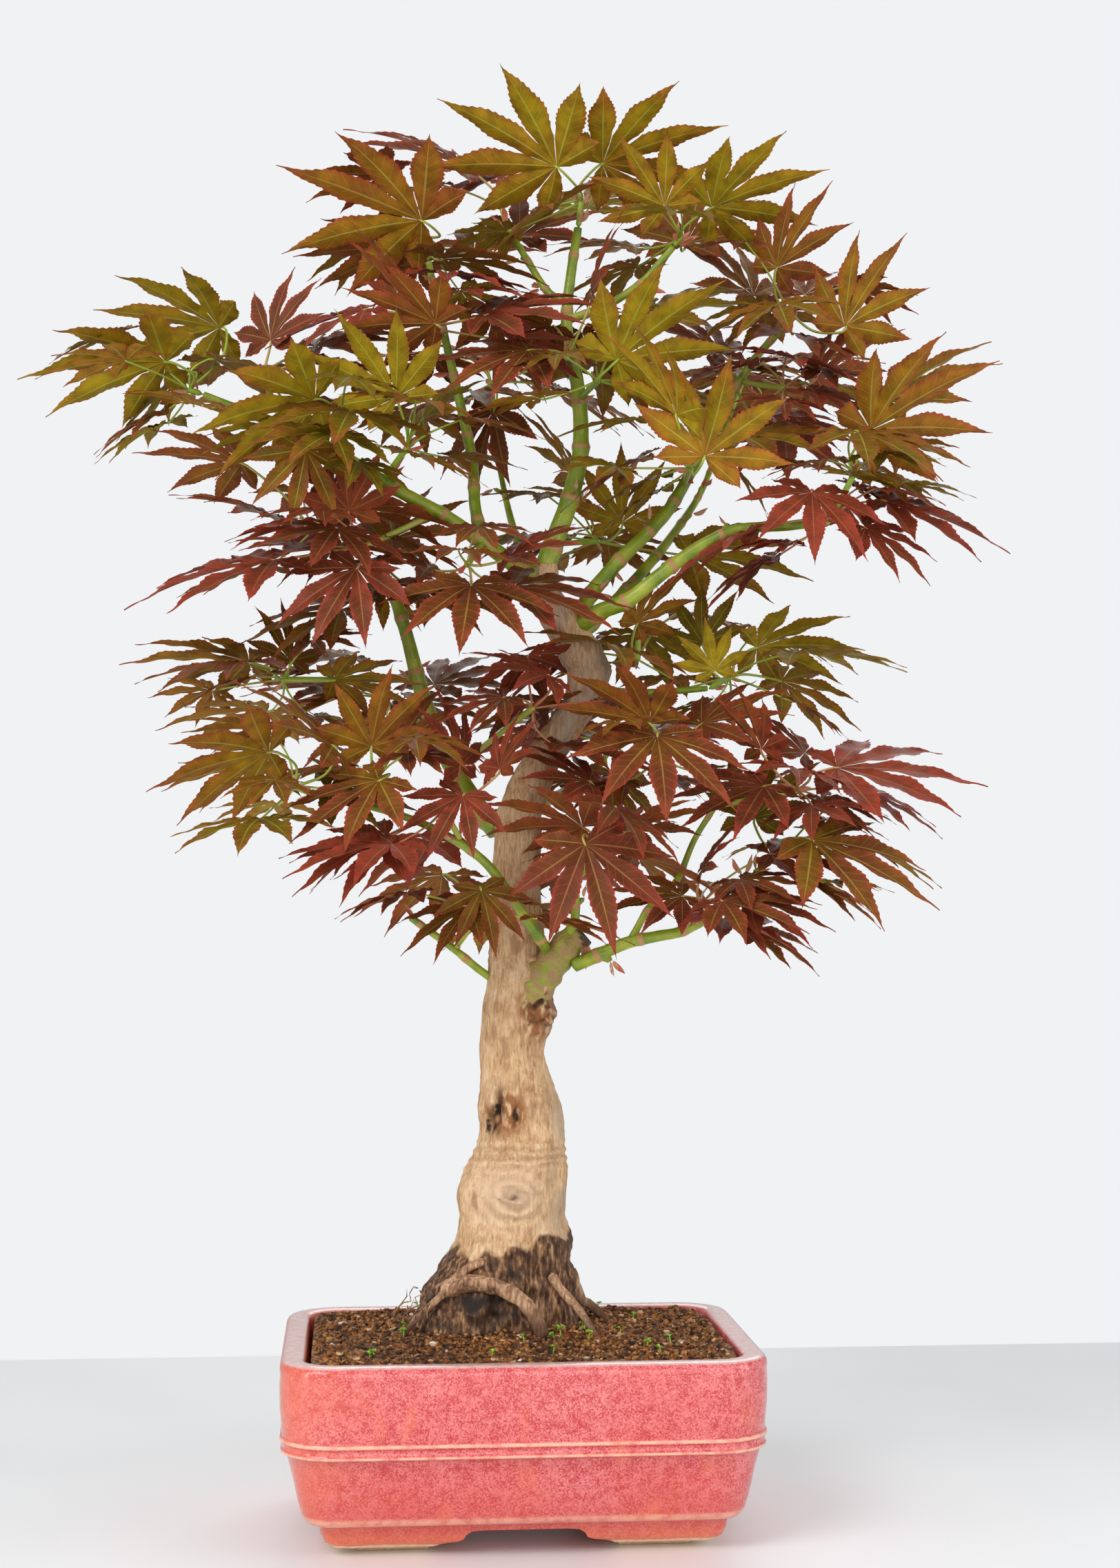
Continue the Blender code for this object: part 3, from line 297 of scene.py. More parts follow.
sheet(bm, 176, len(wall_section) - 1, pot_place)
close(bm)
pot_cutters = []
for along_x, width in ((False, FRONT_GAP), (True, SIDE_GAP)):
    cutter_bm = bmesh.new()
    half, top = width / 2, FOOT - 0.001
    curl = [(half - 0.006, top), (half - 0.001, top - 0.0004), (half + 0.0016, top * 0.82),
            (half + 0.0028, top * 0.62), (half + 0.006, top * 0.52), (half + 0.010, top * 0.47),
            (half + 0.0135, top * 0.40), (half + 0.0165, top * 0.26), (half + 0.020, -0.002)]
    curl += [(-x, z) for x, z in reversed(curl)]
    ring = [cutter_bm.verts.new((pot_middle.x + x, pot_middle.y - 0.2, z) if not along_x else
                                (pot_middle.x - 0.2, pot_middle.y + x, z)) for x, z in curl]
    face = cutter_bm.faces.new(ring)
    pushed = bmesh.ops.extrude_face_region(cutter_bm, geom=[face])["geom"]
    bmesh.ops.translate(cutter_bm, vec=(0.4 * along_x, 0.4 * (not along_x), 0),
                        verts=[v for v in pushed if isinstance(v, bmesh.types.BMVert)])
    bmesh.ops.recalc_face_normals(cutter_bm, faces=cutter_bm.faces)
    pot_cutters.append(cutter_bm)
for side in (-1, 1):
    cutter_bm = bmesh.new()
    drain = Matrix.Translation((pot_middle.x + side * DRAIN_SPACING / 2, pot_middle.y, 0.0165))
    bmesh.ops.create_cone(cutter_bm, cap_ends=True, segments=40, radius1=DRAIN_RADIUS,
                          radius2=DRAIN_RADIUS, depth=0.03, matrix=drain)
    pot_cutters.append(cutter_bm)

glaze, tree, shader, where = finish("pink_red_glaze")
height = put(tree, "SeparateXYZ", {0: where}).outputs["Z"]
face_way = put(tree, "NewGeometry").outputs["Normal"]
upward = put(tree, "SeparateXYZ", {0: face_way}).outputs["Z"]
drift = cloud(tree, where, 26, 3)
warm = cloud(tree, where, 60, 4, stretch=(1, 1, 0.4))
broken = cloud(tree, where, 1250, 3, rough=0.6, twist=1.0)
patches = maths(tree, "SUBTRACT", cloud(tree, where, 210, 3), 0.5)
mottle = steps(tree, maths(tree, "ADD", broken, maths(tree, "MULTIPLY", patches, 0.35)), 0.42, 0.60)
body_colour = ramp(tree, drift, (0.30, (0.82, 0.175, 0.160)), (0.55, (0.84, 0.215, 0.210)),
                   (0.75, (0.86, 0.260, 0.275)))
body_colour = blend(tree, mottle, body_colour, (0.56, 0.026, 0.032))
body_colour = blend(tree, steps(tree, height, 0.015, 0.048, 0.45, 0.0), body_colour, (0.62, 0.065, 0.040))
body_colour = blend(tree, steps(tree, warm, 0.56, 0.74, 0.0, 0.40), body_colour, (0.86, 0.20, 0.07))
along_pot = put(tree, "SeparateXYZ", {0: where}).outputs["X"]
orange_end = steps(tree, maths(tree, "ADD", along_pot, maths(tree, "MULTIPLY", drift, 0.05)),
                   pot_low.x + 0.02, pot_low.x + 0.075, 0.6, 0.0)
body_colour = blend(tree, orange_end, body_colour, (0.80, 0.145, 0.055))


def stripe(tree, height, middle, core, edge):
    """1 at a height, falling to 0 a little way above and below it."""
    distance = maths(tree, "ABSOLUTE", maths(tree, "SUBTRACT", height, middle))
    return maths(tree, "SUBTRACT", 1.0, steps(tree, distance, core, edge))


# the glaze runs thin over the band's two ridges, the base lip and the rim
ridges = maths(tree, "MAXIMUM", stripe(tree, height, 0.0527, 0.0003, 0.0011),
               stripe(tree, height, 0.0474, 0.0003, 0.0010))
lip = stripe(tree, height, 0.0172, 0.0006, 0.0026)
edges = maths(tree, "MULTIPLY", maths(tree, "MAXIMUM", ridges, maths(tree, "MULTIPLY", lip, 0.75)),
              steps(tree, cloud(tree, where, 170, 3), 0.30, 0.62, 0.35, 0.95))
body_colour = blend(tree, edges, body_colour, (0.93, 0.50, 0.33))
foot_blush = steps(tree, maths(tree, "ADD", height, maths(tree, "MULTIPLY", warm, 0.006)), 0.008, 0.019,
                   0.60, 0.0)
body_colour = blend(tree, maths(tree, "MULTIPLY", foot_blush, steps(tree, broken, 0.35, 0.6, 1.0, 0.6)),
                    body_colour, (0.86, 0.24, 0.07))
rim = maths(tree, "MULTIPLY", steps(tree, height, 0.0856, 0.0868), steps(tree, upward, 0.3, 0.9))
body_colour = blend(tree, maths(tree, "MULTIPLY", rim,
                                steps(tree, cloud(tree, where, 240, 4), 0.25, 0.7, 0.95, 0.55)),
                    body_colour, (0.80, 0.62, 0.58))
wiped_edge = maths(tree, "ADD", height, maths(tree, "MULTIPLY", cloud(tree, where, 90), 0.0018))
bare = maths(tree, "SUBTRACT", 1.0, steps(tree, wiped_edge, 0.0056, 0.0062))
clay = ramp(tree, cloud(tree, where, 420, 4), (0.30, (0.80, 0.50, 0.30)), (0.70, (0.95, 0.74, 0.52)))
body_colour = blend(tree, bare, body_colour, clay)
rough = steps(tree, bare, 0.2, 0.8, 0.17, 0.80)
relief = maths(tree, "ADD", maths(tree, "MULTIPLY", mottle, -0.5),
               maths(tree, "MULTIPLY", cloud(tree, where, 300, 2), 0.8))
dress(tree, shader, body_colour, rough, relief, 0.35, 0.0006)
tree.links.new(steps(tree, bare, 0, 1, 0.55, 0.0), shader.inputs["Coat Weight"])
shader.inputs["Coat Roughness"].default_value = 0.06

pot = seat(bm, "glazed_pot", [glaze], "glaze", "pot")
for cutter_bm in pot_cutters:
    mesh = bpy.data.meshes.new("clay_knife")
    cutter_bm.to_mesh(mesh)
    cutter_bm.free()
    knife = bpy.data.objects.new("clay_knife", mesh)
    bpy.context.scene.collection.objects.link(knife)
    slice_off = pot.modifiers.new("Slice", "BOOLEAN")
    slice_off.operation = "DIFFERENCE"
    slice_off.solver = "EXACT"
    slice_off.object = knife
    bpy.context.view_layer.update()
    pot.data = bpy.data.meshes.new_from_object(pot.evaluated_get(bpy.context.evaluated_depsgraph_get()))
    pot.modifiers.clear()
    bpy.data.objects.remove(knife, do_unlink=True)
pot.data.shade_smooth()
pot.data.set_sharp_from_angle(angle=math.radians(40))

# ---------------------------------------------------------------- drainage screens
# A square of black plastic mesh lies over each drain hole, under the soil.

screen_paint, tree, shader, where = finish("black_mesh")
dress(tree, shader, ramp(tree, cloud(tree, where, 500, 3), (0.3, (0.010, 0.010, 0.011)),
                         (0.7, (0.035, 0.033, 0.030))),
      steps(tree, cloud(tree, where, 900), 0.3, 0.7, 0.35, 0.6), cloud(tree, where, 1500), 0.2, 0.0004)
for label in ("left", "right"):
    screen = frame["nodes"]["drain_screen_" + label]
    screen.data.materials.clear()
    screen.data.materials.append(screen_paint)

# ---------------------------------------------------------------- soil
# Open, baked-clay bonsai soil, heaped towards the trunk, with loose crumbs, pale
# flakes and a few chips of stone on top, and some seedlings just coming up.

soil_bm = bmesh.new()
soil_bm.from_mesh(frame["nodes"]["soil"].data)
bmesh.ops.remove_doubles(soil_bm, verts=soil_bm.verts, dist=1e-5)
soil_tree = BVHTree.FromBMesh(soil_bm)
soil_bm.free()
random.seed(4)
noise.seed_set(4)


def soil_level(x, y):
    """The height of the heaped soil under a point, found on the CAD soil from above."""
    hit = soil_tree.ray_cast(Vector((x, y, 0.3)), Vector((0, 0, -1)))[0]
    bare = hit.z if hit and hit.z > 0.07 else pot_high.z - 0.005
    return bare + 0.003 * max(0.0, min(1.0, (0.094 - bare) / 0.008))


def crumble(x, y):
    """How far the loose soil stands up at a point."""
    spot = Vector((x, y, 0))
    return 0.0016 * noise.fractal(spot * 90, 0.9, 2.1, 4) + 0.0012 * abs(noise.noise(spot * 420))


INSIDE = 0.0128
CRUMBS = 4200
FLAKES = 0.045
bm = bmesh.new()


def soil_place(turn, share):
    """A point of the soil: its heaped top, then a short side that drops inside the pot."""
    edge = outline_point(turn, INSIDE)
    centre = Vector((pot_middle.x, pot_middle.y, 0))
    point = centre.lerp(edge, min(1.0, share / 0.96))
    if share > 0.96:
        return point + Vector((0, 0, 0.0600))
    x, y = centre.lerp(edge, min(share / 0.96, 0.985)).xy
    point.z = soil_level(x, y) + crumble(point.x, point.y)
    return point


sheet(bm, 300, 75, soil_place)
close(bm)
soil_paint, tree, shader, where = finish("soil")
grain = put(tree, "TexVoronoi", {"Vector": where, "Scale": 520}).outputs["Color"]
tint = put(tree, "SeparateColor", {0: grain}).outputs[0]
soil_colour = ramp(tree, tint, (0.0, (0.170, 0.050, 0.008)), (0.45, (0.420, 0.145, 0.028)),
                   (0.8, (0.560, 0.235, 0.060)), (1.0, (0.68, 0.36, 0.13)))
damp = cloud(tree, where, 36, 3)
soil_colour = blend(tree, steps(tree, damp, 0.40, 0.62, 0.0, 0.30), soil_colour, (0.060, 0.020, 0.008))
# painted shade: the soil is darkened in the gaps between the grains, which also sit lower in the bump
gaps_between_grains = put(tree, "TexVoronoi", {"Vector": where, "Scale": 330}).outputs["Distance"]
soil_colour = blend(tree, steps(tree, gaps_between_grains, 0.35, 0.75, 0.0, 0.85), soil_colour, (0.022, 0.008, 0.003))
dress(tree, shader, soil_colour, steps(tree, damp, 0.35, 0.65, 0.95, 0.75),
      maths(tree, "ADD", cloud(tree, where, 900, 4), maths(tree, "MULTIPLY", gaps_between_grains, -1.6)), 1.0, 0.0018)
seat(bm, "soil_bed", [soil_paint], "soil", "soil")

grain_bm = bmesh.new()
flake_bm = bmesh.new()
for count in range(CRUMBS):
    turn, share = random.random(), math.sqrt(random.random()) * 0.97
    spot = Vector((pot_middle.x, pot_middle.y, 0)).lerp(outline_point(turn, INSIDE + 0.001), share)
    flake = random.random() < FLAKES
    size = random.uniform(0.0007, 0.0019) if not flake else random.uniform(0.0010, 0.0028)
    spot.z = soil_level(spot.x, spot.y) + crumble(spot.x, spot.y) + size * 0.25
    squash = Matrix.Diagonal((1, random.uniform(0.6, 1), 0.28 if flake else random.uniform(0.6, 0.95), 1))
    lay = Matrix.Translation(spot) @ Matrix.Rotation(random.uniform(0, 6.3), 4, "Z") \
        @ Matrix.Rotation(random.uniform(-0.6, 0.6), 4, "X") @ squash
    made = bmesh.ops.create_icosphere(flake_bm if flake else grain_bm, subdivisions=1, radius=size,
                                      matrix=lay)["verts"]
    for vert in made:
        vert.co += noise.noise_vector(vert.co * 900) * size * 0.35
seat(grain_bm, "soil_crumbs", [soil_paint], "soil")
stone_paint, tree, shader, where = finish("pale_chips")
kind = put(tree, "SeparateColor", {0: put(tree, "TexVoronoi",
                                          {"Vector": where, "Scale": 240}).outputs["Color"]}).outputs[0]
dress(tree, shader, ramp(tree, kind, (0.0, (0.55, 0.30, 0.13)), (0.4, (0.72, 0.45, 0.22)),
                         (0.7, (0.40, 0.16, 0.06)), (1.0, (0.86, 0.80, 0.68))),
      steps(tree, kind, 0.2, 0.8, 0.6, 0.85), cloud(tree, where, 1400, 3), 0.4, 0.0005)
seat(flake_bm, "soil_chips", [stone_paint], "soil")

# ---------------------------------------------------------------- trunk
# The old grafted stock: pale, cream-tan bark with fine upright fissures, a burl where
# a root sucker was cut away, wrinkles over it, a healed slit and a folded knot under
# the cut-back side limb. Below the soil line of last year it is dark and damp.

trunk_bm = bmesh.new()
trunk_bm.from_mesh(frame["nodes"]["trunk"].data)
bmesh.ops.remove_doubles(trunk_bm, verts=trunk_bm.verts, dist=1e-5)
trunk_tree = BVHTree.FromBMesh(trunk_bm)
trunk_bm.free()
trunk_low, trunk_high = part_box("trunk")
trunk_foot = Vector((trunk_low.x + 0.043, (trunk_low.y + trunk_high.y) / 2, 0))
RAYS = 36


def trunk_sections(count):
    """The trunk's middle and its reach all round, at heights from its foot to its top."""
    sections = []
    middle = trunk_foot.copy()
    for index in range(count):
        z = trunk_low.z + 0.0006 + (trunk_high.z - trunk_low.z - 0.0012) * index / (count - 1)
        for _ in range(3):
            reach = []
            for ray in range(RAYS):
                angle = 2 * math.pi * ray / RAYS
                away = Vector((math.cos(angle), math.sin(angle), 0))
                hit = trunk_tree.ray_cast(Vector((middle.x, middle.y, z)), away)
                reach.append(hit[3] if hit[3] else 0.004)
            usual = sorted(reach)[RAYS // 2]
            reach = [min(r, usual * 1.22) for r in reach]
            drift = sum((Vector((math.cos(2 * math.pi * i / RAYS), math.sin(2 * math.pi * i / RAYS), 0)) * r
                         for i, r in enumerate(reach)), Vector()) / RAYS
            middle = middle + drift
        sections.append((Vector((middle.x, middle.y, z)), reach))
    return sections


sections = trunk_sections(90)


def near(point, spot, wide, tall):
    """How close a point is to a mark on the trunk's front, from 1 on it to 0 away from it."""
    x, z = (point.x - pot_middle.x) / CM - spot[0], point.z / CM - spot[1]
    return math.exp(-((x / wide) ** 2 + (z / tall) ** 2)) * (1 if point.y < trunk_foot.y else 0)


def grooves(point):
    """The turns of the burl and the wrinkles over it: from -1 in a groove to 1 on a ridge."""
    swirl_x, swirl_z = (point.x - pot_middle.x) / CM + 0.3, point.z / CM - 15.3
    turns = math.sin(math.hypot(swirl_x + 0.25 * swirl_z, swirl_z * 1.25) * 9
                     + 0.5 * math.atan2(swirl_z, swirl_x)
                     + 2.6 * noise.noise(point * 95) + 1.2 * noise.noise(point * 260))
    folds = math.sin(point.z / CM * 15 + 2.4 * noise.noise(point * 110))
    return near(point, (-0.3, 15.3), 1.5, 1.3) * turns, near(point, (0.0, 17.2), 2.8, 0.6) * folds


def trunk_place(turn, share):
    """A point of the bark: the CAD trunk's surface with its lumps, folds, burl and fissures."""
    spot = min(share * (len(sections) - 1), len(sections) - 1.001)
    low, part = int(spot), spot - int(spot)
    part = part * part * (3 - 2 * part)
    middle = sections[low][0].lerp(sections[low + 1][0], spot - low)
    ray = (turn % 1.0) * RAYS
    left, mix = int(ray) % RAYS, ray - int(ray)
    right = (left + 1) % RAYS
    here = [sections[i][1][left] * (1 - mix) + sections[i][1][right] * mix for i in (low, low + 1)]
    reach = here[0] * (1 - part) + here[1] * part
    angle = 2 * math.pi * turn
    away = Vector((math.cos(angle), math.sin(angle), 0))
    point = middle + away * reach
    lump = 0.0011 * noise.noise(point * 70)
    lump += 0.0006 * noise.noise(Vector((point.x * 260, point.y * 260, point.z * 60)))
    fissure = 0.00030 * noise.noise(Vector((point.x * 900, point.y * 900, point.z * 90)))
    turns, folds = grooves(point)
    lump += near(point, (-0.3, 15.3), 1.7, 1.5) * 0.0016 + 0.00085 * turns + 0.00080 * folds
    slit = near(point, (-1.0 + 0.12 * (point.z / CM - 19.2), 19.2), 0.20, 0.85)
    lips = near(point, (-1.0, 19.2), 0.62, 1.15)
    second = near(point, (-0.15, 19.0), 0.16, 0.45) + near(point, (-1.35, 18.6), 0.13, 0.5)
    lump += 0.0024 * lips * (1 + 0.5 * noise.noise(point * 240)) - 0.0050 * slit - 0.0026 * second
    knot = near(point, (1.05, 23.7), 0.75, 0.95)
    lump += knot * (0.0030 + 0.0036 * noise.noise(point * 300))
    lump += near(point, (-0.7, 18.2), 0.7, 0.35) * 0.0012
    low_part = max(0.0, min(1.0, (13.4 - point.z / CM) / 2.4))
    lump += low_part * (0.0016 * noise.noise(point * 150)
                        + 0.0010 * math.sin(angle * 9 + 3 * noise.noise(point * 60)))
    top = max(0.0, min(1.0, (point.z - trunk_high.z + 0.03) / 0.03))
    return middle + away * (reach + (lump + fissure) * (1 - 0.7 * top))


bm = bmesh.new()
sheet(bm, 150, 520, trunk_place)
close(bm)
crevice_shade = bm.verts.layers.float.new("crevice_shade")
damp_mark = bm.verts.layers.float.new("damp")
burl_mark = bm.verts.layers.float.new("burl")
wound_mark = bm.verts.layers.float.new("wound")
for vert in bm.verts:
    spot = vert.co
    slit = near(spot, (-1.0 + 0.12 * (spot.z / CM - 19.2), 19.2), 0.24, 0.9)
    slit = max(slit, near(spot, (-0.15, 19.0), 0.16, 0.45), near(spot, (-1.35, 18.6), 0.13, 0.5))
    fold = near(spot, (1.15, 23.8), 0.75, 0.85) * max(0.0, 0.55 + 1.9 * noise.noise(spot * 300))
    eye = near(spot, (-0.25, 15.35), 0.30, 0.22) * 0.6
    turns, folds = grooves(spot)
    vert[burl_mark] = min(1.0, 1.3 * near(spot, (-0.5, 15.4), 1.5, 1.25))
    vert[wound_mark] = min(1.0, 1.8 * near(spot, (-0.6, 19.2), 0.95, 0.9)
                           + 2.4 * near(spot, (1.1, 23.8), 0.95, 1.0))
    # painted shadow under the arched root: the trunk below it is darkened, with a ragged edge
    arch_shadow = 1.5 * near(spot, (-1.5, 10.5), 1.5, 0.75)
    arch_shadow *= max(0.0, 0.75 + 1.1 * noise.noise(spot * 170))
    slit *= max(0.0, 0.8 + 1.5 * noise.noise(Vector((spot.x * 700, spot.y * 700, spot.z * 220))))
    # painted shade: dark in the slit, the folds of the knot, the grooves of the burl and wrinkles and the
    # shadow under the arched root, and a dark spot at the burl's eye
    vert[crevice_shade] = min(1.0, arch_shadow + 1.25 * slit + 0.9 * fold + eye + 0.32 * max(0.0, -turns)
                     + 0.30 * max(0.0, -folds))
    ragged = 0.9 * noise.noise(Vector((spot.x * 110, spot.y * 110, spot.z * 40)))
    edge = 13.15 + 0.35 * (spot.x - pot_middle.x) / CM * (spot.x > pot_middle.x) + ragged
    vert[damp_mark] = max(0.0, min(1.0, (edge - spot.z / CM) / 0.7))

bark_group = bpy.data.node_groups.new("fissured_bark", "ShaderNodeTree")
bark_group.interface.new_socket("Where", in_out="INPUT", socket_type="NodeSocketVector")
bark_group.interface.new_socket("Size", in_out="INPUT", socket_type="NodeSocketFloat")
bark_group.interface.new_socket("Shade", in_out="OUTPUT", socket_type="NodeSocketFloat")
bark_group.interface.new_socket("Height", in_out="OUTPUT", socket_type="NodeSocketFloat")
tree = bark_group
put_in = tree.nodes.new("NodeGroupInput").outputs
put_out = tree.nodes.new("NodeGroupOutput").inputs
upright = put(tree, "Mapping", {"Vector": put_in["Where"], "Scale": (1, 1, 0.22)}).outputs[0]
lines = put(tree, "TexNoise", {"Vector": upright, "Scale": put_in["Size"], "Detail": 6, "Roughness": 0.62,
                               "Distortion": 0.5}).outputs["Fac"]
broad = put(tree, "TexNoise", {"Vector": put_in["Where"],
                               "Scale": maths(tree, "MULTIPLY", put_in["Size"], 0.12),
                               "Detail": 4}).outputs["Fac"]
tree.links.new(maths(tree, "ADD", maths(tree, "MULTIPLY", lines, 0.68),
                     maths(tree, "MULTIPLY", broad, 0.32)), put_out["Shade"])
tree.links.new(lines, put_out["Height"])

bark_paint, tree, shader, where = finish("cream_bark")
bark = put(tree, "Group", node_tree=bark_group)
bark.inputs["Size"].default_value = 760
tree.links.new(where, bark.inputs["Where"])
bark_colour = ramp(tree, bark.outputs["Shade"], (0.32, (0.30, 0.145, 0.058)), (0.42, (0.52, 0.30, 0.145)),
                   (0.52, (0.68, 0.44, 0.240)), (0.66, (0.82, 0.60, 0.38)))
burl_cream = own(tree, "burl")
bark_colour = blend(tree, maths(tree, "MULTIPLY", burl_cream, 0.65), bark_colour, (0.78, 0.55, 0.37))
scorch = maths(tree, "MULTIPLY", own(tree, "wound"),
               steps(tree, cloud(tree, where, 330, 4, (1, 1, 0.5)), 0.34, 0.56))
bark_colour = blend(tree, maths(tree, "MINIMUM", scorch, 0.92), bark_colour, (0.30, 0.105, 0.030))
side = put(tree, "SeparateXYZ", {0: where}).outputs["X"]
grey = maths(tree, "MULTIPLY", steps(tree, side, pot_middle.x + 0.010, pot_middle.x + 0.022),
             steps(tree, cloud(tree, where, 60, 3), 0.35, 0.6))
bark_colour = blend(tree, maths(tree, "MULTIPLY", grey, 0.55), bark_colour, (0.42, 0.34, 0.27))
stains = steps(tree, cloud(tree, where, 130, 5, (1, 1, 0.5)), 0.56, 0.72, 0.0, 0.7)
bark_colour = blend(tree, stains, bark_colour, (0.34, 0.17, 0.08))
damp = own(tree, "damp")
damp_colour = ramp(tree, cloud(tree, where, 520, 5, (1, 1, 0.3)), (0.32, (0.018, 0.008, 0.004)),
                   (0.50, (0.110, 0.048, 0.020)), (0.62, (0.30, 0.155, 0.070)), (0.74, (0.55, 0.34, 0.19)))
damp_edge = maths(tree, "ADD", damp, maths(tree, "MULTIPLY", cloud(tree, where, 500, 4), 0.3))
bark_colour = blend(tree, steps(tree, damp_edge, 0.35, 0.75), bark_colour, damp_colour)
# painted shade in the bark's slit, folds and grooves and under the arched root, and a dark spot at the
# burl's eye
bark_colour = blend(tree, own(tree, "crevice_shade"), bark_colour, (0.018, 0.009, 0.005))
dress(tree, shader, bark_colour, steps(tree, damp, 0.2, 0.8, 0.78, 0.52),
      maths(tree, "ADD", bark.outputs["Height"], maths(tree, "MULTIPLY", cloud(tree, where, 1300, 3), 0.3)),
      0.75, 0.0012)
shader.inputs["Specular IOR Level"].default_value = 0.3
seat(bm, "trunk_and_root_flare", [bark_paint], "bark", "trunk")


def smooth_route(points, step):
    """Points about a step apart on a smooth curve through the given ones."""
    padded = [points[0] * 2 - points[1], *points, points[-1] * 2 - points[-2]]
    route = []
    for a, b, c, d in zip(padded, padded[1:], padded[2:], padded[3:]):
        count = max(1, round((c - b).length / step))
        for i in range(count):
            t = i / count
            route.append(0.5 * (2 * b + (c - a) * t + (2 * a - 5 * b + 4 * c - d) * t * t
                                + (3 * b - a - 3 * c + d) * t ** 3))
    return route + [points[-1].copy()]


def rod(bm, route, radii, sides, shape=None):
    """A round rod along a route, closed to a point where its radius is nothing; gives its new points."""
    frames = []
    heading = (route[1] - route[0]).normalized()
    across = heading.orthogonal().normalized()
    for index, point in enumerate(route):
        ahead = (route[min(index + 1, len(route) - 1)] - route[max(index - 1, 0)]).normalized()
        across = heading.rotation_difference(ahead) @ across
        heading = ahead
        frames.append((point, across, ahead.cross(across), radii[index]))

    def place(turn, share):
        point, right, up, radius = frames[round(share * (len(frames) - 1))]
        angle = 2 * math.pi * turn
        away = right * math.cos(angle) + up * math.sin(angle)
        grow = shape(turn % 1.0, round(share * (len(frames) - 1))) if shape else 1.0
        return point + away * radius * grow

    return sheet(bm, sides, len(route) - 1, place)


def from_pot(*spots):
    """Points given in centimetres from the pot's middle and the table."""
    return [Vector((pot_middle.x + x * CM, pot_middle.y + y * CM, z * CM)) for x, y, z in spots]


# the cut-back side limb, with its sawn and sealed end
stub_route = smooth_route(from_pot((0.3, -0.3, 24.2), (1.5, -0.9, 26.0), (2.3, -1.1, 27.0),
                                   (3.1, -1.2, 27.72)), 0.0012)
bm = bmesh.new()
count = len(stub_route)
stub_radii = [(1.02 - 0.38 * i / count + 0.05 * math.sin(i * 0.9)) * CM for i in range(count)]
stub_radii[-1] = 0.0
stub_route[-1] = stub_route[-2] + (stub_route[-2] - stub_route[-3]) * 0.05
rod(bm, stub_route, stub_radii, 44, lambda turn, i: 1 + 0.05 * math.sin(turn * 12.566 + i * 0.05))
close(bm)
stub_end = bm.verts.layers.float.new("sawn")
for vert in bm.verts:
    vert[stub_end] = 1.0 if (vert.co - stub_route[-2]).length < 0.0075 else 0.0
green_group = bpy.data.node_groups.new("young_bark", "ShaderNodeTree")
for socket, way, kind in (("Where", "INPUT", "Vector"), ("Scar", "INPUT", "Float"),
                          ("Brown", "INPUT", "Float"),
                          ("Colour", "OUTPUT", "Color"), ("Height", "OUTPUT", "Float")):
    green_group.interface.new_socket(socket, in_out=way, socket_type="NodeSocket" + kind)
tree = green_group
put_in = tree.nodes.new("NodeGroupInput").outputs
put_out = tree.nodes.new("NodeGroupOutput").inputs
soft = cloud(tree, put_in["Where"], 90, 4)
fine = cloud(tree, put_in["Where"], 900, 4)
green = ramp(tree, soft, (0.30, (0.13, 0.22, 0.008)), (0.50, (0.27, 0.36, 0.012)),
             (0.70, (0.44, 0.46, 0.04)))
green = blend(tree, steps(tree, fine, 0.55, 0.72, 0.0, 0.35), green, (0.50, 0.48, 0.12))
scar = steps(tree, maths(tree, "ADD", put_in["Scar"], maths(tree, "MULTIPLY", fine, 0.35)), 0.42, 0.85)
green = blend(tree, scar, green, (0.50, 0.28, 0.10))
woody = steps(tree, maths(tree, "ADD", put_in["Brown"],
                          maths(tree, "MULTIPLY", cloud(tree, put_in["Where"], 260, 5), 0.9)), 0.65, 1.0)
green = blend(tree, woody, green, (0.36, 0.20, 0.09))
tree.links.new(green, put_out["Colour"])
tree.links.new(maths(tree, "ADD", fine, maths(tree, "MULTIPLY", scar, 0.8)), put_out["Height"])

stub_paint, tree, shader, where = finish("side_limb_bark")
young = put(tree, "Group", node_tree=green_group)
tree.links.new(where, young.inputs["Where"])
young.inputs["Brown"].default_value = 0.42
sawn_wood = ramp(tree, cloud(tree, where, 500, 4), (0.35, (0.02, 0.012, 0.008)), (0.65, (0.16, 0.08, 0.04)))
dress(tree, shader, blend(tree, own(tree, "sawn"), young.outputs["Colour"], sawn_wood),
      steps(tree, cloud(tree, where, 300), 0.3, 0.7, 0.5, 0.75), young.outputs["Height"], 0.6, 0.001)
seat(bm, "cut_back_limb", [stub_paint], "bark")

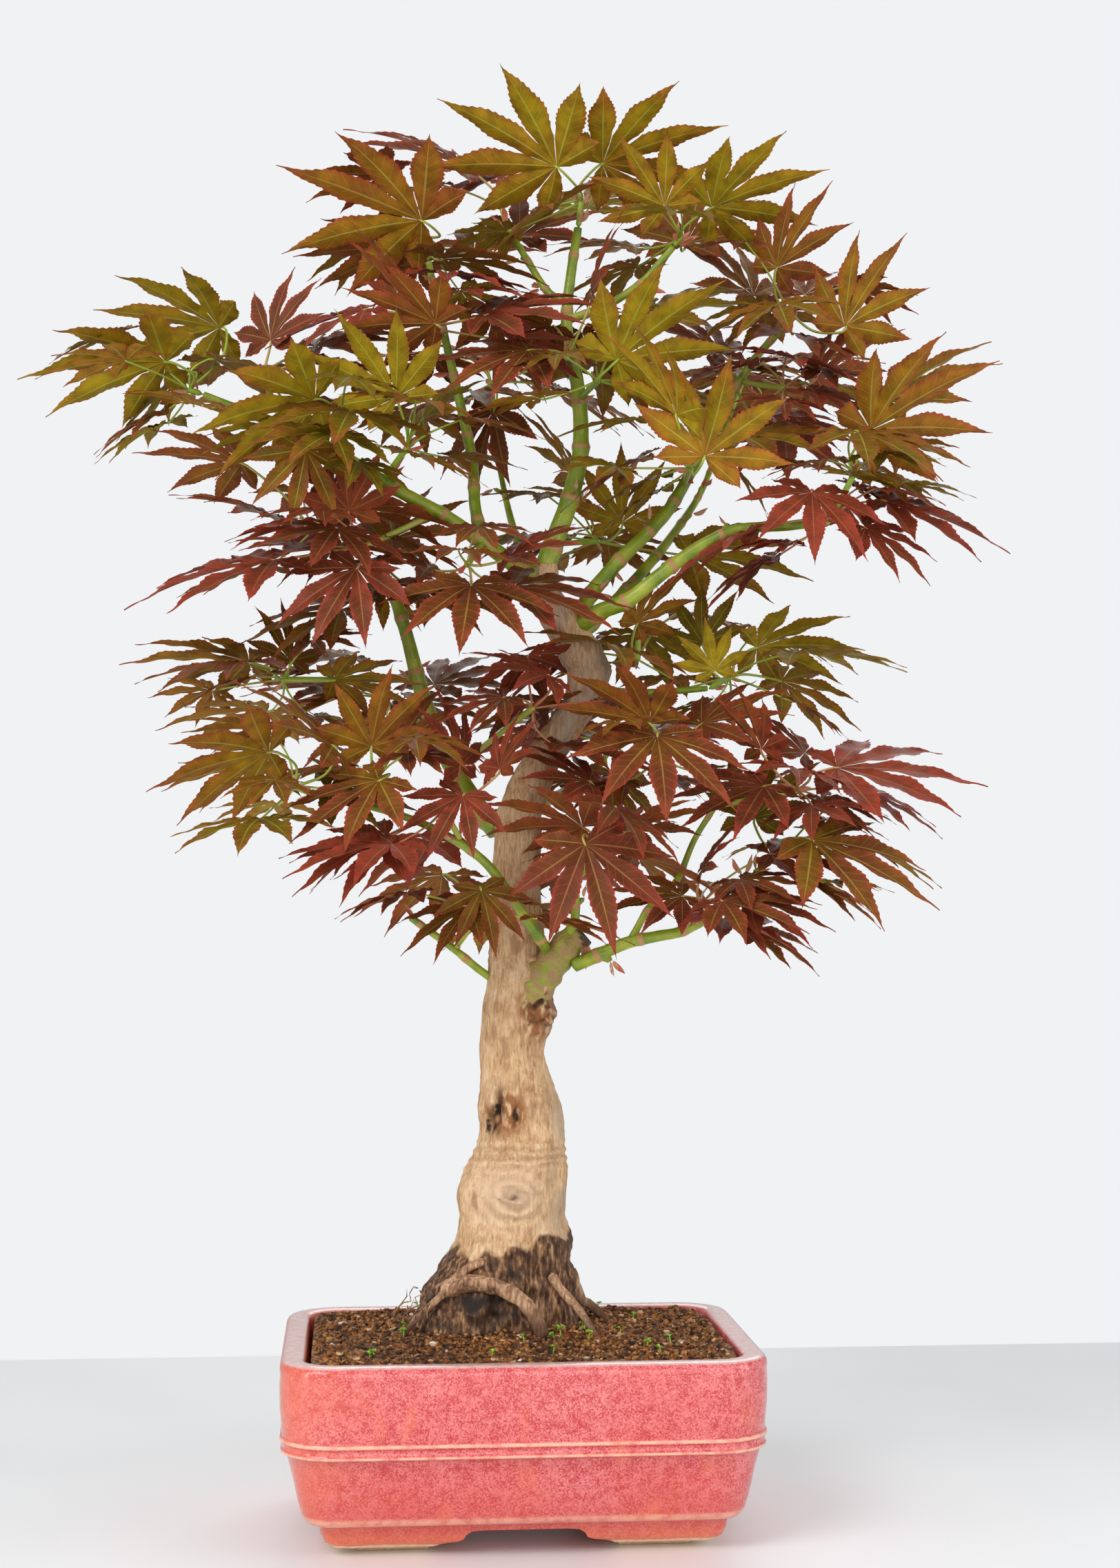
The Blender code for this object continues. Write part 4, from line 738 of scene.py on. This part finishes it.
# surface roots: an arched one with painted shadow under it on the trunk, others running into the soil, and
# hair roots
random.seed(11)
root_bm = bmesh.new()
for spots, thick, thin in (
        (((-3.6, -2.2, 11.0), (-2.4, -2.9, 11.55), (-1.0, -3.2, 11.35), (0.1, -3.4, 10.7), (0.7, -3.6, 9.8),
          (1.0, -3.7, 9.0)), 0.42, 0.30),
        (((-1.6, -2.4, 12.5), (-2.6, -2.6, 12.1), (-3.5, -2.6, 11.3), (-4.5, -2.7, 10.3),
          (-5.6, -2.8, 8.9)), 0.20, 0.13),
        (((1.4, -1.8, 11.8), (2.2, -2.3, 10.8), (2.9, -2.9, 9.9), (3.6, -3.6, 8.7)), 0.24, 0.14),
        (((2.2, 0.2, 11.6), (3.0, 0.4, 10.4), (3.9, 0.8, 9.5), (4.8, 1.2, 8.6)), 0.30, 0.16),
        (((-2.2, 1.6, 11.6), (-3.4, 2.2, 10.3), (-4.6, 2.9, 8.8)), 0.36, 0.18),
        (((0.6, 2.0, 11.4), (1.0, 3.0, 10.2), (1.5, 4.1, 8.8)), 0.36, 0.18)):
    route = []
    for point in smooth_route(from_pot(*spots), 0.0022):
        touch, away, _, gap = trunk_tree.find_nearest(point)
        hold = math.exp(-(gap / 0.006) ** 2) if point.z > 0.1 else 0.0
        route.append(point.lerp(touch + away * thick * CM * 0.25, hold))
    radii = [(thick + (thin - thick) * i / len(route)) * CM * (1 + 0.12 * noise.noise(p * 260))
             for i, p in enumerate(route)]
    radii[0] = radii[-1] = 0.0
    rod(root_bm, route, radii, 22, lambda turn, i: 1 + 0.10 * math.sin(turn * 18.85 + i * 0.2))
for count in range(26):
    start = Vector((-4.4 + random.uniform(-0.9, 0.9), -2.2 + random.uniform(-1.2, 1.0),
                    10.4 + random.uniform(-0.4, 0.7)))
    spots = [start]
    for _ in range(4):
        start = start + Vector((random.uniform(-0.38, 0.22), random.uniform(-0.3, 0.3),
                                random.uniform(-0.5, 0.12)))
        spots.append(start)
    route = smooth_route(from_pot(*spots), 0.0028)
    radii = [0.00028] * len(route)
    radii[0] = radii[-1] = 0.0
    rod(root_bm, route, radii, 6)
close(root_bm)
root_paint, tree, shader, where = finish("root_bark")
bark = put(tree, "Group", node_tree=bark_group)
bark.inputs["Size"].default_value = 640
tree.links.new(where, bark.inputs["Where"])
root_colour = ramp(tree, bark.outputs["Shade"], (0.36, (0.10, 0.045, 0.02)), (0.50, (0.42, 0.22, 0.11)),
                   (0.64, (0.80, 0.55, 0.34)))
height = put(tree, "SeparateXYZ", {0: where}).outputs["Z"]
muddy = steps(tree, maths(tree, "ADD", height, maths(tree, "MULTIPLY", cloud(tree, where, 200, 4), 0.012)),
              0.100, 0.114, 0.85, 0.15)
dress(tree, shader, blend(tree, muddy, root_colour, (0.075, 0.028, 0.012)),
      steps(tree, muddy, 0.1, 0.9, 0.7, 0.9), bark.outputs["Height"], 0.7, 0.001)
seat(root_bm, "surface_roots", [root_paint], "bark")

# ---------------------------------------------------------------- green stems
# This and last year's growth: smooth lime-green bark, ringed with a tan scar and a
# slight swelling at each pair of old buds, with short cut-back spurs at the scars.


def merged(name):
    """A merged copy of a CAD node."""
    bm = bmesh.new()
    bm.from_mesh(frame["nodes"][name].data)
    bmesh.ops.remove_doubles(bm, verts=bm.verts, dist=1e-6)
    return bm


def end_rings(bm):
    """The points round each end face of a CAD rod: a flat six-sided face, as wide each way."""
    flat = bm.copy()
    bmesh.ops.dissolve_limit(flat, angle_limit=math.radians(0.2), verts=flat.verts, edges=flat.edges)
    ends = []
    for face in flat.faces:
        corners = [v.co for v in face.verts]
        middle = sum(corners, Vector()) / len(corners)
        reach = [(c - middle).length for c in corners]
        if len(corners) > 5 and max(reach) < 1.12 * min(reach):
            ends.append([v for v in bm.verts if min((v.co - c).length_squared for c in corners) < 1e-12])
    flat.free()
    return ends


def rings_of(ring, limit):
    """The rings of points of a rod, walked along from its end ring: their middles and radii."""
    ring = set(ring)
    seen = set(ring)
    found = []
    while ring and len(found) < limit:
        middle = sum((v.co for v in ring), Vector()) / len(ring)
        found.append((middle, sum((v.co - middle).length for v in ring) / len(ring)))
        ring = {e.other_vert(v) for v in ring for e in v.link_edges} - seen
        seen |= ring
    return found


SUNK = 0.0045
stem_names = [s["node"] for s in frame["record"]["subparts"] if s["material_slot"] == "stem"]
random.seed(21)
stem_routes = {}
spur_bm = bmesh.new()
scale_spots = []
stem_paint, tree, shader, where = finish("green_young_bark")
young = put(tree, "Group", {"Scar": own(tree, "scar"), "Where": where}, node_tree=green_group)
young.inputs["Brown"].default_value = 0.0
dress(tree, shader, young.outputs["Colour"], steps(tree, own(tree, "scar"), 0.2, 0.8, 0.36, 0.75),
      young.outputs["Height"], 0.35, 0.0006)
shader.inputs["Coat Weight"].default_value = 0.15
shader.inputs["Coat Roughness"].default_value = 0.3
for name in stem_names:
    cad = merged(name)
    found = max((rings_of(end, 400) for end in end_rings(cad)), key=lambda rings: rings[0][1])
    cad.free()
    back = found[0][0] + (found[0][0] - found[1][0]).normalized() * SUNK
    route = smooth_route([back] + [m for m, _ in found], 0.0016)
    length = len(route)
    thick, thin = found[0][1], found[-1][1]
    radii = [thick + (thin - thick) * i / (length - 1) for i in range(length)]
    nodes_at = []
    spot = random.uniform(6, 12)
    while spot < length - 4:
        nodes_at.append(spot)
        spot += random.uniform(10, 19)
    swell = [sum(math.exp(-((i - n) / 1.3) ** 2) for n in nodes_at) for i in range(length)]
    radii = [r * (1 + 0.16 * s + 0.03 * noise.noise(p * 300)) for r, s, p in zip(radii, swell, route)]
    radii[0] = radii[-1] = 0.0
    route[-1] = route[-2] + (route[-1] - route[-2]) * 0.3
    bm = bmesh.new()
    rod(bm, route, radii, 16)
    scar_layer = bm.verts.layers.float.new("scar")
    for vert in bm.verts:
        index = min(range(length), key=lambda i: (route[i] - vert.co).length_squared)
        vert[scar_layer] = min(1.0, swell[index] ** 2)
    close(bm)
    seat(bm, name + "_stem", [stem_paint], "stem", name)
    stem_routes[name] = route
    for place in nodes_at:
        index = int(place)
        if random.random() < 0.55 and 3 < index < length - 3:
            ahead = (route[index + 1] - route[index - 1]).normalized()
            out = (Matrix.Rotation(random.uniform(0, 6.28), 3, ahead) @ ahead.orthogonal().normalized())
            tip = route[index] + (out + ahead * 0.9).normalized() * random.uniform(0.004, 0.009)
            spur = smooth_route([route[index], route[index].lerp(tip, 0.5) + ahead * 0.0004, tip], 0.0016)
            girth = [max(0.0011, radii[index] * 0.55)] * len(spur)
            girth[0] = girth[-1] = 0.0
            rod(spur_bm, spur, girth, 8)
            scale_spots.append((tip, (out + ahead * 0.6).normalized()))
close(spur_bm)
spur_paint, tree, shader, where = finish("cut_spurs")
young = put(tree, "Group", {"Where": where}, node_tree=green_group)
young.inputs["Scar"].default_value = 0.25
young.inputs["Brown"].default_value = 0.35
dress(tree, shader, young.outputs["Colour"], steps(tree, cloud(tree, where, 500), 0.3, 0.7, 0.5, 0.7),
      young.outputs["Height"], 0.4, 0.0006)
seat(spur_bm, "cut_back_spurs", [spur_paint], "stem")

# ---------------------------------------------------------------- shoots and leaves
# Each new shoot ends in a knot, from which thin stalks carry the leaves. A blade has
# seven lobes with toothed edges and long drawn-out tips, a pale rib down each lobe,
# and it changes as it ripens from wine red to bronze and then to olive green.

LEAF_THICKNESS = 0.0014
DROOP = 0.16
NOTCH = 0.23
lobes = ((-112, 0.42, 33, 21), (-70, 0.76, 21, 18), (-34, 0.93, 18, 17), (0, 1.0, 17, 17),
         (34, 0.93, 17, 18), (70, 0.76, 18, 21), (112, 0.42, 21, 33))
ripeness = {"shoot_top": 0.15, "shoot_top_right": 0.2, "shoot_top_left": 0.7, "shoot_upper_left": 0.45,
            "shoot_left_crown": 0.8, "shoot_crown_front": 0.6, "shoot_far_left": 0.15,
            "shoot_left_mid": 0.7, "shoot_left_front": 0.12, "shoot_left_inner": 0.1,
            "shoot_crown_olive": 0.08, "shoot_right_front": 0.3, "shoot_right_far": 0.25,
            "shoot_right_upper": 0.5, "shoot_right_inner": 0.8, "shoot_right_red": 0.95,
            "shoot_left_dark": 0.9, "shoot_left_narrow": 0.5, "shoot_centre_brown": 0.65,
            "shoot_centre_red": 0.95, "shoot_low_front": 0.75, "shoot_mid_front": 0.55,
            "shoot_low_right_red": 0.85, "shoot_low_right_olive": 0.3, "shoot_low_right_small": 0.7,
            "shoot_low_left": 0.25, "shoot_low_left_inner": 0.5, "shoot_low_centre_red": 0.95,
            "shoot_low_centre_dark": 0.4, "shoot_left_slim": 0.3, "shoot_right_slim": 0.15,
            "shoot_right_dark": 0.4, "shoot_back_mid": 0.2}


def read_leaves(cad):
    """Hub, middle lobe's way, upper face's way and length of each blade on a merged CAD shoot."""
    hubs = [v for v in cad.verts if len(v.link_edges) >= 12]
    leaves = []
    while hubs:
        one = hubs.pop()
        other = min(hubs, key=lambda v: (v.co - one.co).length_squared)
        hubs.remove(other)
        rim = {e.other_vert(one) for e in one.link_edges} & {e.other_vert(other) for e in other.link_edges}
        tip = max(rim, key=lambda v: (v.co - one.co).length_squared)
        middle = (one.co + other.co) / 2
        upper = (one.co - other.co).normalized()
        if (tip.co - middle).dot(upper) > 0:
            upper = -upper
        above = one.co if (one.co - other.co).dot(upper) > 0 else other.co
        hub = above - upper * (0.65 * LEAF_THICKNESS)
        flat = (tip.co - hub) - upper * (tip.co - hub).dot(upper)
        leaves.append((hub, flat.normalized(), upper, flat.length))
    return sorted(leaves, key=lambda leaf: tuple(leaf[0]))


def grow_blade(bm, leaf, layers, tone, rows=36):
    """One blade: each lobe is a toothed strip from the hub to its tip."""
    hub, aim, upper, size = leaf
    side = aim.cross(upper)
    fold = random.uniform(0.20, 0.42)
    for angle, share, room_left, room_right in lobes:
        turn = math.radians(angle + random.uniform(-3, 3) * (abs(angle) < 100))
        along_lobe = aim * math.cos(turn) + side * math.sin(turn)
        across_lobe = side * math.cos(turn) - aim * math.sin(turn)
        length = size * share * random.uniform(0.96, 1.03)
        girth = random.uniform(0.070, 0.085) * size * (0.6 + 0.4 * share)
        bend = random.uniform(-0.10, 0.10)
        curl = random.uniform(-0.03, 0.10)
        made = bmesh.ops.create_grid(bm, x_segments=4, y_segments=rows, size=0.5)["verts"]
        for vert in made:
            u, v = vert.co.x * 2, vert.co.y + 0.5
            row = round(v * rows)
            room = math.tan(math.radians(room_left if u < 0 else room_right))
            joined = NOTCH * (0.35 if (room_left if u < 0 else room_right) > 30 else 1.0) * size / length
            free = max(0.0, (v - joined) / (1 - joined))
            wide = min(v, joined) * length * room * (1 - free) ** 1.6
            wide += girth * max(0.0, math.sin(math.pi * free ** 0.85)) ** 1.5 * (1 - 0.25 * free)
            toothed = (0.1 < free < 0.93) * abs(u) ** 6 * (row % 2)
            wide = min(wide * (1 + 0.11 * toothed), room * v * length)
            forward = v * length + 0.010 * length * toothed
            flat = along_lobe * forward + across_lobe * (u * wide + bend * v * v * length * 0.5)
            reach = flat.length / size
            sag = curl * max(0.0, v - 0.45) ** 2 * length
            lift = -DROOP * reach * reach * size + fold * abs(u) * wide - sag
            ripple = 0.010 * size * math.sin(v * 21 + angle) * u * u * (v > 0.2)
            vert.co = hub + flat + upper * (lift + ripple + 0.0002)
            vert[layers[0]] = u
            vert[layers[1]] = v
            vert[layers[2]] = tone


def grow_stalks(bm, leaves, knot, layers, tone, back, dip, step, thin, swell, sides):
    """A thin stalk from the knot to each blade, hanging a little and thickest at the knot."""
    for hub, aim, upper, size in leaves:
        stalk = smooth_route([hub + aim * 0.03 * size + upper * 0.0002,
                              hub - aim * back * size - upper * 0.0003,
                              hub.lerp(knot, 0.45) - aim * dip * size, knot], step)
        radii = [thin + swell * (i / len(stalk)) ** 4 for i in range(len(stalk))]
        radii[0] = radii[-1] = 0.0
        for vert in rod(bm, stalk, radii, sides):
            vert[layers[2]] = min(1.0, tone * 0.8 + 0.1)


def paint_stalks(bm, blade_faces):
    """Gives every face after the blades' own the second material, and joins doubled points."""
    bm.faces.ensure_lookup_table()
    for face in bm.faces[blade_faces:]:
        face.material_index = 1
    bmesh.ops.remove_doubles(bm, verts=bm.verts, dist=1e-6)


blade_paint, tree, shader, where = finish("maple_leaf")
across, along, tone = own(tree, "across"), own(tree, "along"), own(tree, "tone")
wide = maths(tree, "ABSOLUTE", across)
patch = cloud(tree, where, 34, 3)
ripe = maths(tree, "ADD", tone, maths(tree, "MULTIPLY", maths(tree, "SUBTRACT", patch, 0.5), 0.9))
upper_colour = ramp(tree, ripe, (0.05, (0.180, 0.130, 0.005)), (0.30, (0.235, 0.100, 0.008)),
                    (0.55, (0.185, 0.050, 0.012)), (0.80, (0.165, 0.034, 0.014)),
                    (1.0, (0.290, 0.046, 0.022)))
under_colour = ramp(tree, ripe, (0.05, (0.380, 0.260, 0.006)), (0.35, (0.380, 0.175, 0.008)),
                    (0.65, (0.290, 0.088, 0.012)), (1.0, (0.310, 0.046, 0.022)))
facing = put(tree, "NewGeometry").outputs["Backfacing"]
blade_colour = blend(tree, facing, upper_colour, under_colour)
margin = maths(tree, "MULTIPLY", steps(tree, wide, 0.62, 1.0), steps(tree, along, 0.15, 0.5))
tips = steps(tree, along, 0.62, 1.0)
blush = maths(tree, "MULTIPLY", maths(tree, "MAXIMUM", margin, tips),
              steps(tree, ripe, -0.1, 0.5, 0.30, 0.75))
blade_colour = blend(tree, blush, blade_colour, (0.400, 0.045, 0.028))
shade = steps(tree, cloud(tree, where, 140, 4), 0.30, 0.72)
blade_colour = blend(tree, maths(tree, "MULTIPLY", shade, 0.45), blade_colour, (0.050, 0.022, 0.006))
rib_wide = maths(tree, "MULTIPLY", wide, steps(tree, along, 0.0, 0.8, 0.35, 1.0))
rib = maths(tree, "SUBTRACT", 1.0, steps(tree, rib_wide, 0.025, 0.075))
slant = maths(tree, "SUBTRACT", maths(tree, "MULTIPLY", along, 11.0), maths(tree, "MULTIPLY", wide, 1.15))
vein = maths(tree, "ABSOLUTE", maths(tree, "SUBTRACT", maths(tree, "FRACT", slant), 0.5))
vein = maths(tree, "MULTIPLY", maths(tree, "SUBTRACT", 1.0, steps(tree, vein, 0.02, 0.10)),
             steps(tree, along, 0.08, 0.25))
lines = maths(tree, "MAXIMUM", maths(tree, "MULTIPLY", rib, 0.75), maths(tree, "MULTIPLY", vein, 0.22))
rib_colour = ramp(tree, ripe, (0.2, (0.42, 0.42, 0.06)), (0.9, (0.42, 0.16, 0.07)))
blade_colour = blend(tree, maths(tree, "MULTIPLY", lines, steps(tree, facing, 0, 1, 0.75, 0.9)),
                     blade_colour, rib_colour)
sunk_lines = maths(tree, "MAXIMUM", rib, maths(tree, "MULTIPLY", vein, 0.6))
pucker = maths(tree, "ADD", maths(tree, "MULTIPLY", sunk_lines, -1.0),
               maths(tree, "MULTIPLY", cloud(tree, where, 900, 3), 0.5))
dress(tree, shader, blade_colour, steps(tree, facing, 0, 1, 0.50, 0.62), pucker, 0.45, 0.0006)
shader.inputs["Specular IOR Level"].default_value = 0.14

stalk_paint, tree, shader, where = finish("leaf_stalk")
tone = own(tree, "tone")
stalk_colour = ramp(tree, maths(tree, "ADD", maths(tree, "MULTIPLY", tone, 0.7),
                                maths(tree, "MULTIPLY", cloud(tree, where, 60), 0.5)),
                    (0.25, (0.30, 0.46, 0.030)), (0.60, (0.44, 0.46, 0.07)), (0.90, (0.52, 0.16, 0.08)))
dress(tree, shader, stalk_colour, steps(tree, cloud(tree, where, 400), 0.3, 0.7, 0.32, 0.5),
      cloud(tree, where, 1200), 0.2, 0.0003)

random.seed(33)
all_leaves = []
knots = []
shoot_names = [s["node"] for s in frame["record"]["subparts"] if s["material_slot"] == "leaf"]
for name in shoot_names:
    cad = merged(name)
    ends = [rings_of(end, 2) for end in end_rings(cad)]
    (base, girth), (way, _) = min(ends, key=lambda rings: rings[0][1])
    knot = base + (way - base) / 0.6
    bm = bmesh.new()
    layers = [bm.verts.layers.float.new(key) for key in ("across", "along", "tone")]
    tone = ripeness.get(name, 0.45)
    bmesh.ops.dissolve_limit(cad, angle_limit=math.radians(0.2), verts=cad.verts, edges=cad.edges)
    leaves = read_leaves(cad)
    cad.free()
    for leaf in leaves:
        grow_blade(bm, leaf, layers, min(1.0, max(0.0, tone + random.uniform(-0.16, 0.16))))
    blade_faces = len(bm.faces)
    start = base - (knot - base).normalized() * 0.002
    twig = smooth_route([start, base, base.lerp(knot, 0.55), knot,
                         knot + (knot - base).normalized() * 0.0016], 0.0016)
    radii = [girth * (0.92 + 0.30 * (i / len(twig)) ** 6) for i in range(len(twig))]
    radii[0] = radii[-1] = 0.0
    for vert in rod(bm, twig, radii, 10):
        vert[layers[2]] = tone * 0.5
    grow_stalks(bm, leaves, knot, layers, tone, 0.06, 0.12, 0.0020, 0.00062, 0.00025, 7)
    paint_stalks(bm, blade_faces)
    scale_spots.append((base + (knot - base).normalized() * 0.001, (knot - base).normalized()))
    scale_spots.append((knot, (knot - base).normalized()))
    all_leaves += leaves
    knots.append((name, knot, tone))
    seat(bm, name + "_spray", [blade_paint, stalk_paint], "leaf", name)

# ---------------------------------------------------------------- small leaves
# Smaller, later leaves fill the crown between the big ones. They grow from the same
# knots, on thinner stalks, and lie flatter; none runs through another leaf or a stem.

MOST_SMALL_LEAVES = 6
TRIES = 44
LOWEST_LEAF = 0.27
TRUNK_SHOWS_BELOW = 0.33
random.seed(71)


def blade_tree(leaf):
    """A rough plate where a blade lies, to keep blades from running through each other."""
    hub, aim, upper, size = leaf
    side = aim.cross(upper)
    corners = [hub - aim * 0.25 * size]
    for angle, share in ((-70, 0.7), (-34, 0.85), (0, 0.95), (34, 0.85), (70, 0.7)):
        turn = math.radians(angle)
        reach = size * share
        corners.append(hub + (aim * math.cos(turn) + side * math.sin(turn)) * reach
                       - upper * (DROOP * share * share * size))
    return BVHTree.FromPolygons([hub, *corners], [(0, k, k + 1) for k in range(1, 6)] + [(0, 6, 1)])


plates = [(leaf[0], blade_tree(leaf)) for leaf in all_leaves]
stem_tree = BVHTree.FromPolygons(
    [p + Vector(d) * 0.0008 for route in stem_routes.values() for p in route
     for d in ((0, 0, 1), (1, 0, -1), (-1, 0, -1))],
    [(3 * k, 3 * k + 1, 3 * k + 2) for k in range(sum(len(route) for route in stem_routes.values()))])
low_limit, high_limit = cad_box[0], cad_box[1]
for name, knot, tone in knots:
    bm = bmesh.new()
    layers = [bm.verts.layers.float.new(key) for key in ("across", "along", "tone")]
    small_leaves = []
    for _ in range(TRIES):
        if len(small_leaves) >= MOST_SMALL_LEAVES:
            break
        turn = random.uniform(0, 2 * math.pi)
        out = Vector((math.cos(turn), math.sin(turn), 0))
        size = random.uniform(0.032, 0.062)
        hub = knot + out * random.uniform(0.010, 0.042) + Vector((0, 0, random.uniform(-0.018, 0.026)))
        aim = (out + Vector((random.uniform(-0.5, 0.5), random.uniform(-0.5, 0.5),
                             random.uniform(-0.45, 0.05)))).normalized()
        upper = Vector((random.uniform(-0.35, 0.35), random.uniform(-0.55, 0.30), 1))
        upper = (upper - aim * upper.dot(aim)).normalized()
        leaf = (hub, aim, upper, size)
        tip = hub + aim * size
        if not all(low + 0.004 < c < high - 0.004 for low, c, high in zip(low_limit, tip, high_limit)):
            continue
        if tip.z < LOWEST_LEAF or (tip.z < TRUNK_SHOWS_BELOW and abs(tip.x - pot_middle.x) < 0.05
                                   and tip.y < pot_middle.y):
            continue
        plate = blade_tree(leaf)
        crossed = any((hub - spot).length < 0.18 and plate.overlap(other) for spot, other in plates)
        if crossed or plate.overlap(stem_tree):
            continue
        plates.append((hub, plate))
        small_leaves.append(leaf)
        grow_blade(bm, leaf, layers, min(1.0, max(0.0, tone + random.uniform(-0.25, 0.30))), 24)
    blade_faces = len(bm.faces)
    grow_stalks(bm, small_leaves, knot, layers, tone, 0.05, 0.10, 0.0024, 0.00050, 0.0002, 6)
    paint_stalks(bm, blade_faces)
    if small_leaves:
        seat(bm, name + "_small_leaves", [blade_paint, stalk_paint], "leaf")

# ---------------------------------------------------------------- bud scales and seedlings
# Thin papery scales, pink to tan, stay at the foot of each shoot after its bud opened,
# and one hangs under the cut-back limb. Maple seedlings stand here and there in the soil.


def flap(bm, root, ahead, out, length, width, bend):
    """A small leaf-shaped flap, bent outwards from its root."""
    across = ahead.cross(out).normalized()

    def place(u, v):
        wide = width * math.sin(math.pi * (0.12 + 0.88 * v) ** 0.8) ** 0.8 if v < 1 else 0.0
        side = (u - 0.5) * wide
        rise = bend * v * v * length + 3 * side * side / width
        return root + ahead * (v * length) + out * rise + across * side

    return sheet(bm, 4, 8, place)


random.seed(52)
scale_bm = bmesh.new()
for root, ahead in scale_spots:
    for _ in range(random.choice((1, 2, 3))):
        out = Matrix.Rotation(random.uniform(0, 6.28), 3, ahead) @ ahead.orthogonal().normalized()
        flap(scale_bm, root + out * 0.0012, (ahead + out * random.uniform(0.15, 0.9)).normalized(), out,
             random.uniform(0.0040, 0.0085), random.uniform(0.0018, 0.0032), random.uniform(0.1, 0.6))
hang, = from_pot((3.05, -1.25, 27.1))
flap(scale_bm, hang, Vector((0.05, -0.1, -1)).normalized(), Vector((0.2, -1, 0)).normalized(), 0.0125,
     0.0052, 0.15)
scale_paint, tree, shader, where = finish("papery_scales")
kind = put(tree, "SeparateColor", {0: put(tree, "TexVoronoi",
                                          {"Vector": where, "Scale": 60}).outputs["Color"]}).outputs[0]
scale_colour = ramp(tree, kind, (0.0, (0.66, 0.11, 0.07)), (0.4, (0.74, 0.27, 0.15)),
                    (0.7, (0.72, 0.42, 0.24)), (1.0, (0.50, 0.10, 0.09)))
dress(tree, shader, blend(tree, steps(tree, cloud(tree, where, 700, 4), 0.45, 0.7, 0.0, 0.6), scale_colour,
                          (0.34, 0.15, 0.07)),
      steps(tree, kind, 0.2, 0.8, 0.5, 0.7), cloud(tree, where, 1300, 3, (1, 1, 0.3)), 0.4, 0.0004)
seat(scale_bm, "bud_scales", [scale_paint], "leaf")

seedling_bm = bmesh.new()
for count in range(22):
    turn, share = random.random(), random.uniform(0.30, 0.92)
    foot = Vector((pot_middle.x, pot_middle.y, 0)).lerp(outline_point(turn, INSIDE), share)
    foot.z = soil_level(foot.x, foot.y) + 0.0004
    tall = random.uniform(0.0018, 0.0042)
    top = foot + Vector((random.uniform(-0.3, 0.3), random.uniform(-0.3, 0.3), 1)) * tall
    rod(seedling_bm, smooth_route([foot, foot.lerp(top, 0.5), top], 0.0008), [0.0003] * 12, 6)
    spin = random.uniform(0, 3.14)
    for part in range(random.choice((2, 4))):
        ahead = Vector((math.cos(spin + part * 1.571), math.sin(spin + part * 1.571),
                        random.uniform(0.15, 0.6))).normalized()
        flap(seedling_bm, top, ahead, Vector((0, 0, 1)), random.uniform(0.0018, 0.0034),
             random.uniform(0.0010, 0.0017), -0.1)
seedling_paint, tree, shader, where = finish("seedling_green")
dress(tree, shader, ramp(tree, cloud(tree, where, 130), (0.35, (0.16, 0.42, 0.02)),
                         (0.65, (0.36, 0.62, 0.05))),
      steps(tree, cloud(tree, where, 300), 0.3, 0.7, 0.4, 0.55), cloud(tree, where, 1500), 0.3, 0.0002)
seat(seedling_bm, "seedlings", [seedling_paint], "leaf")
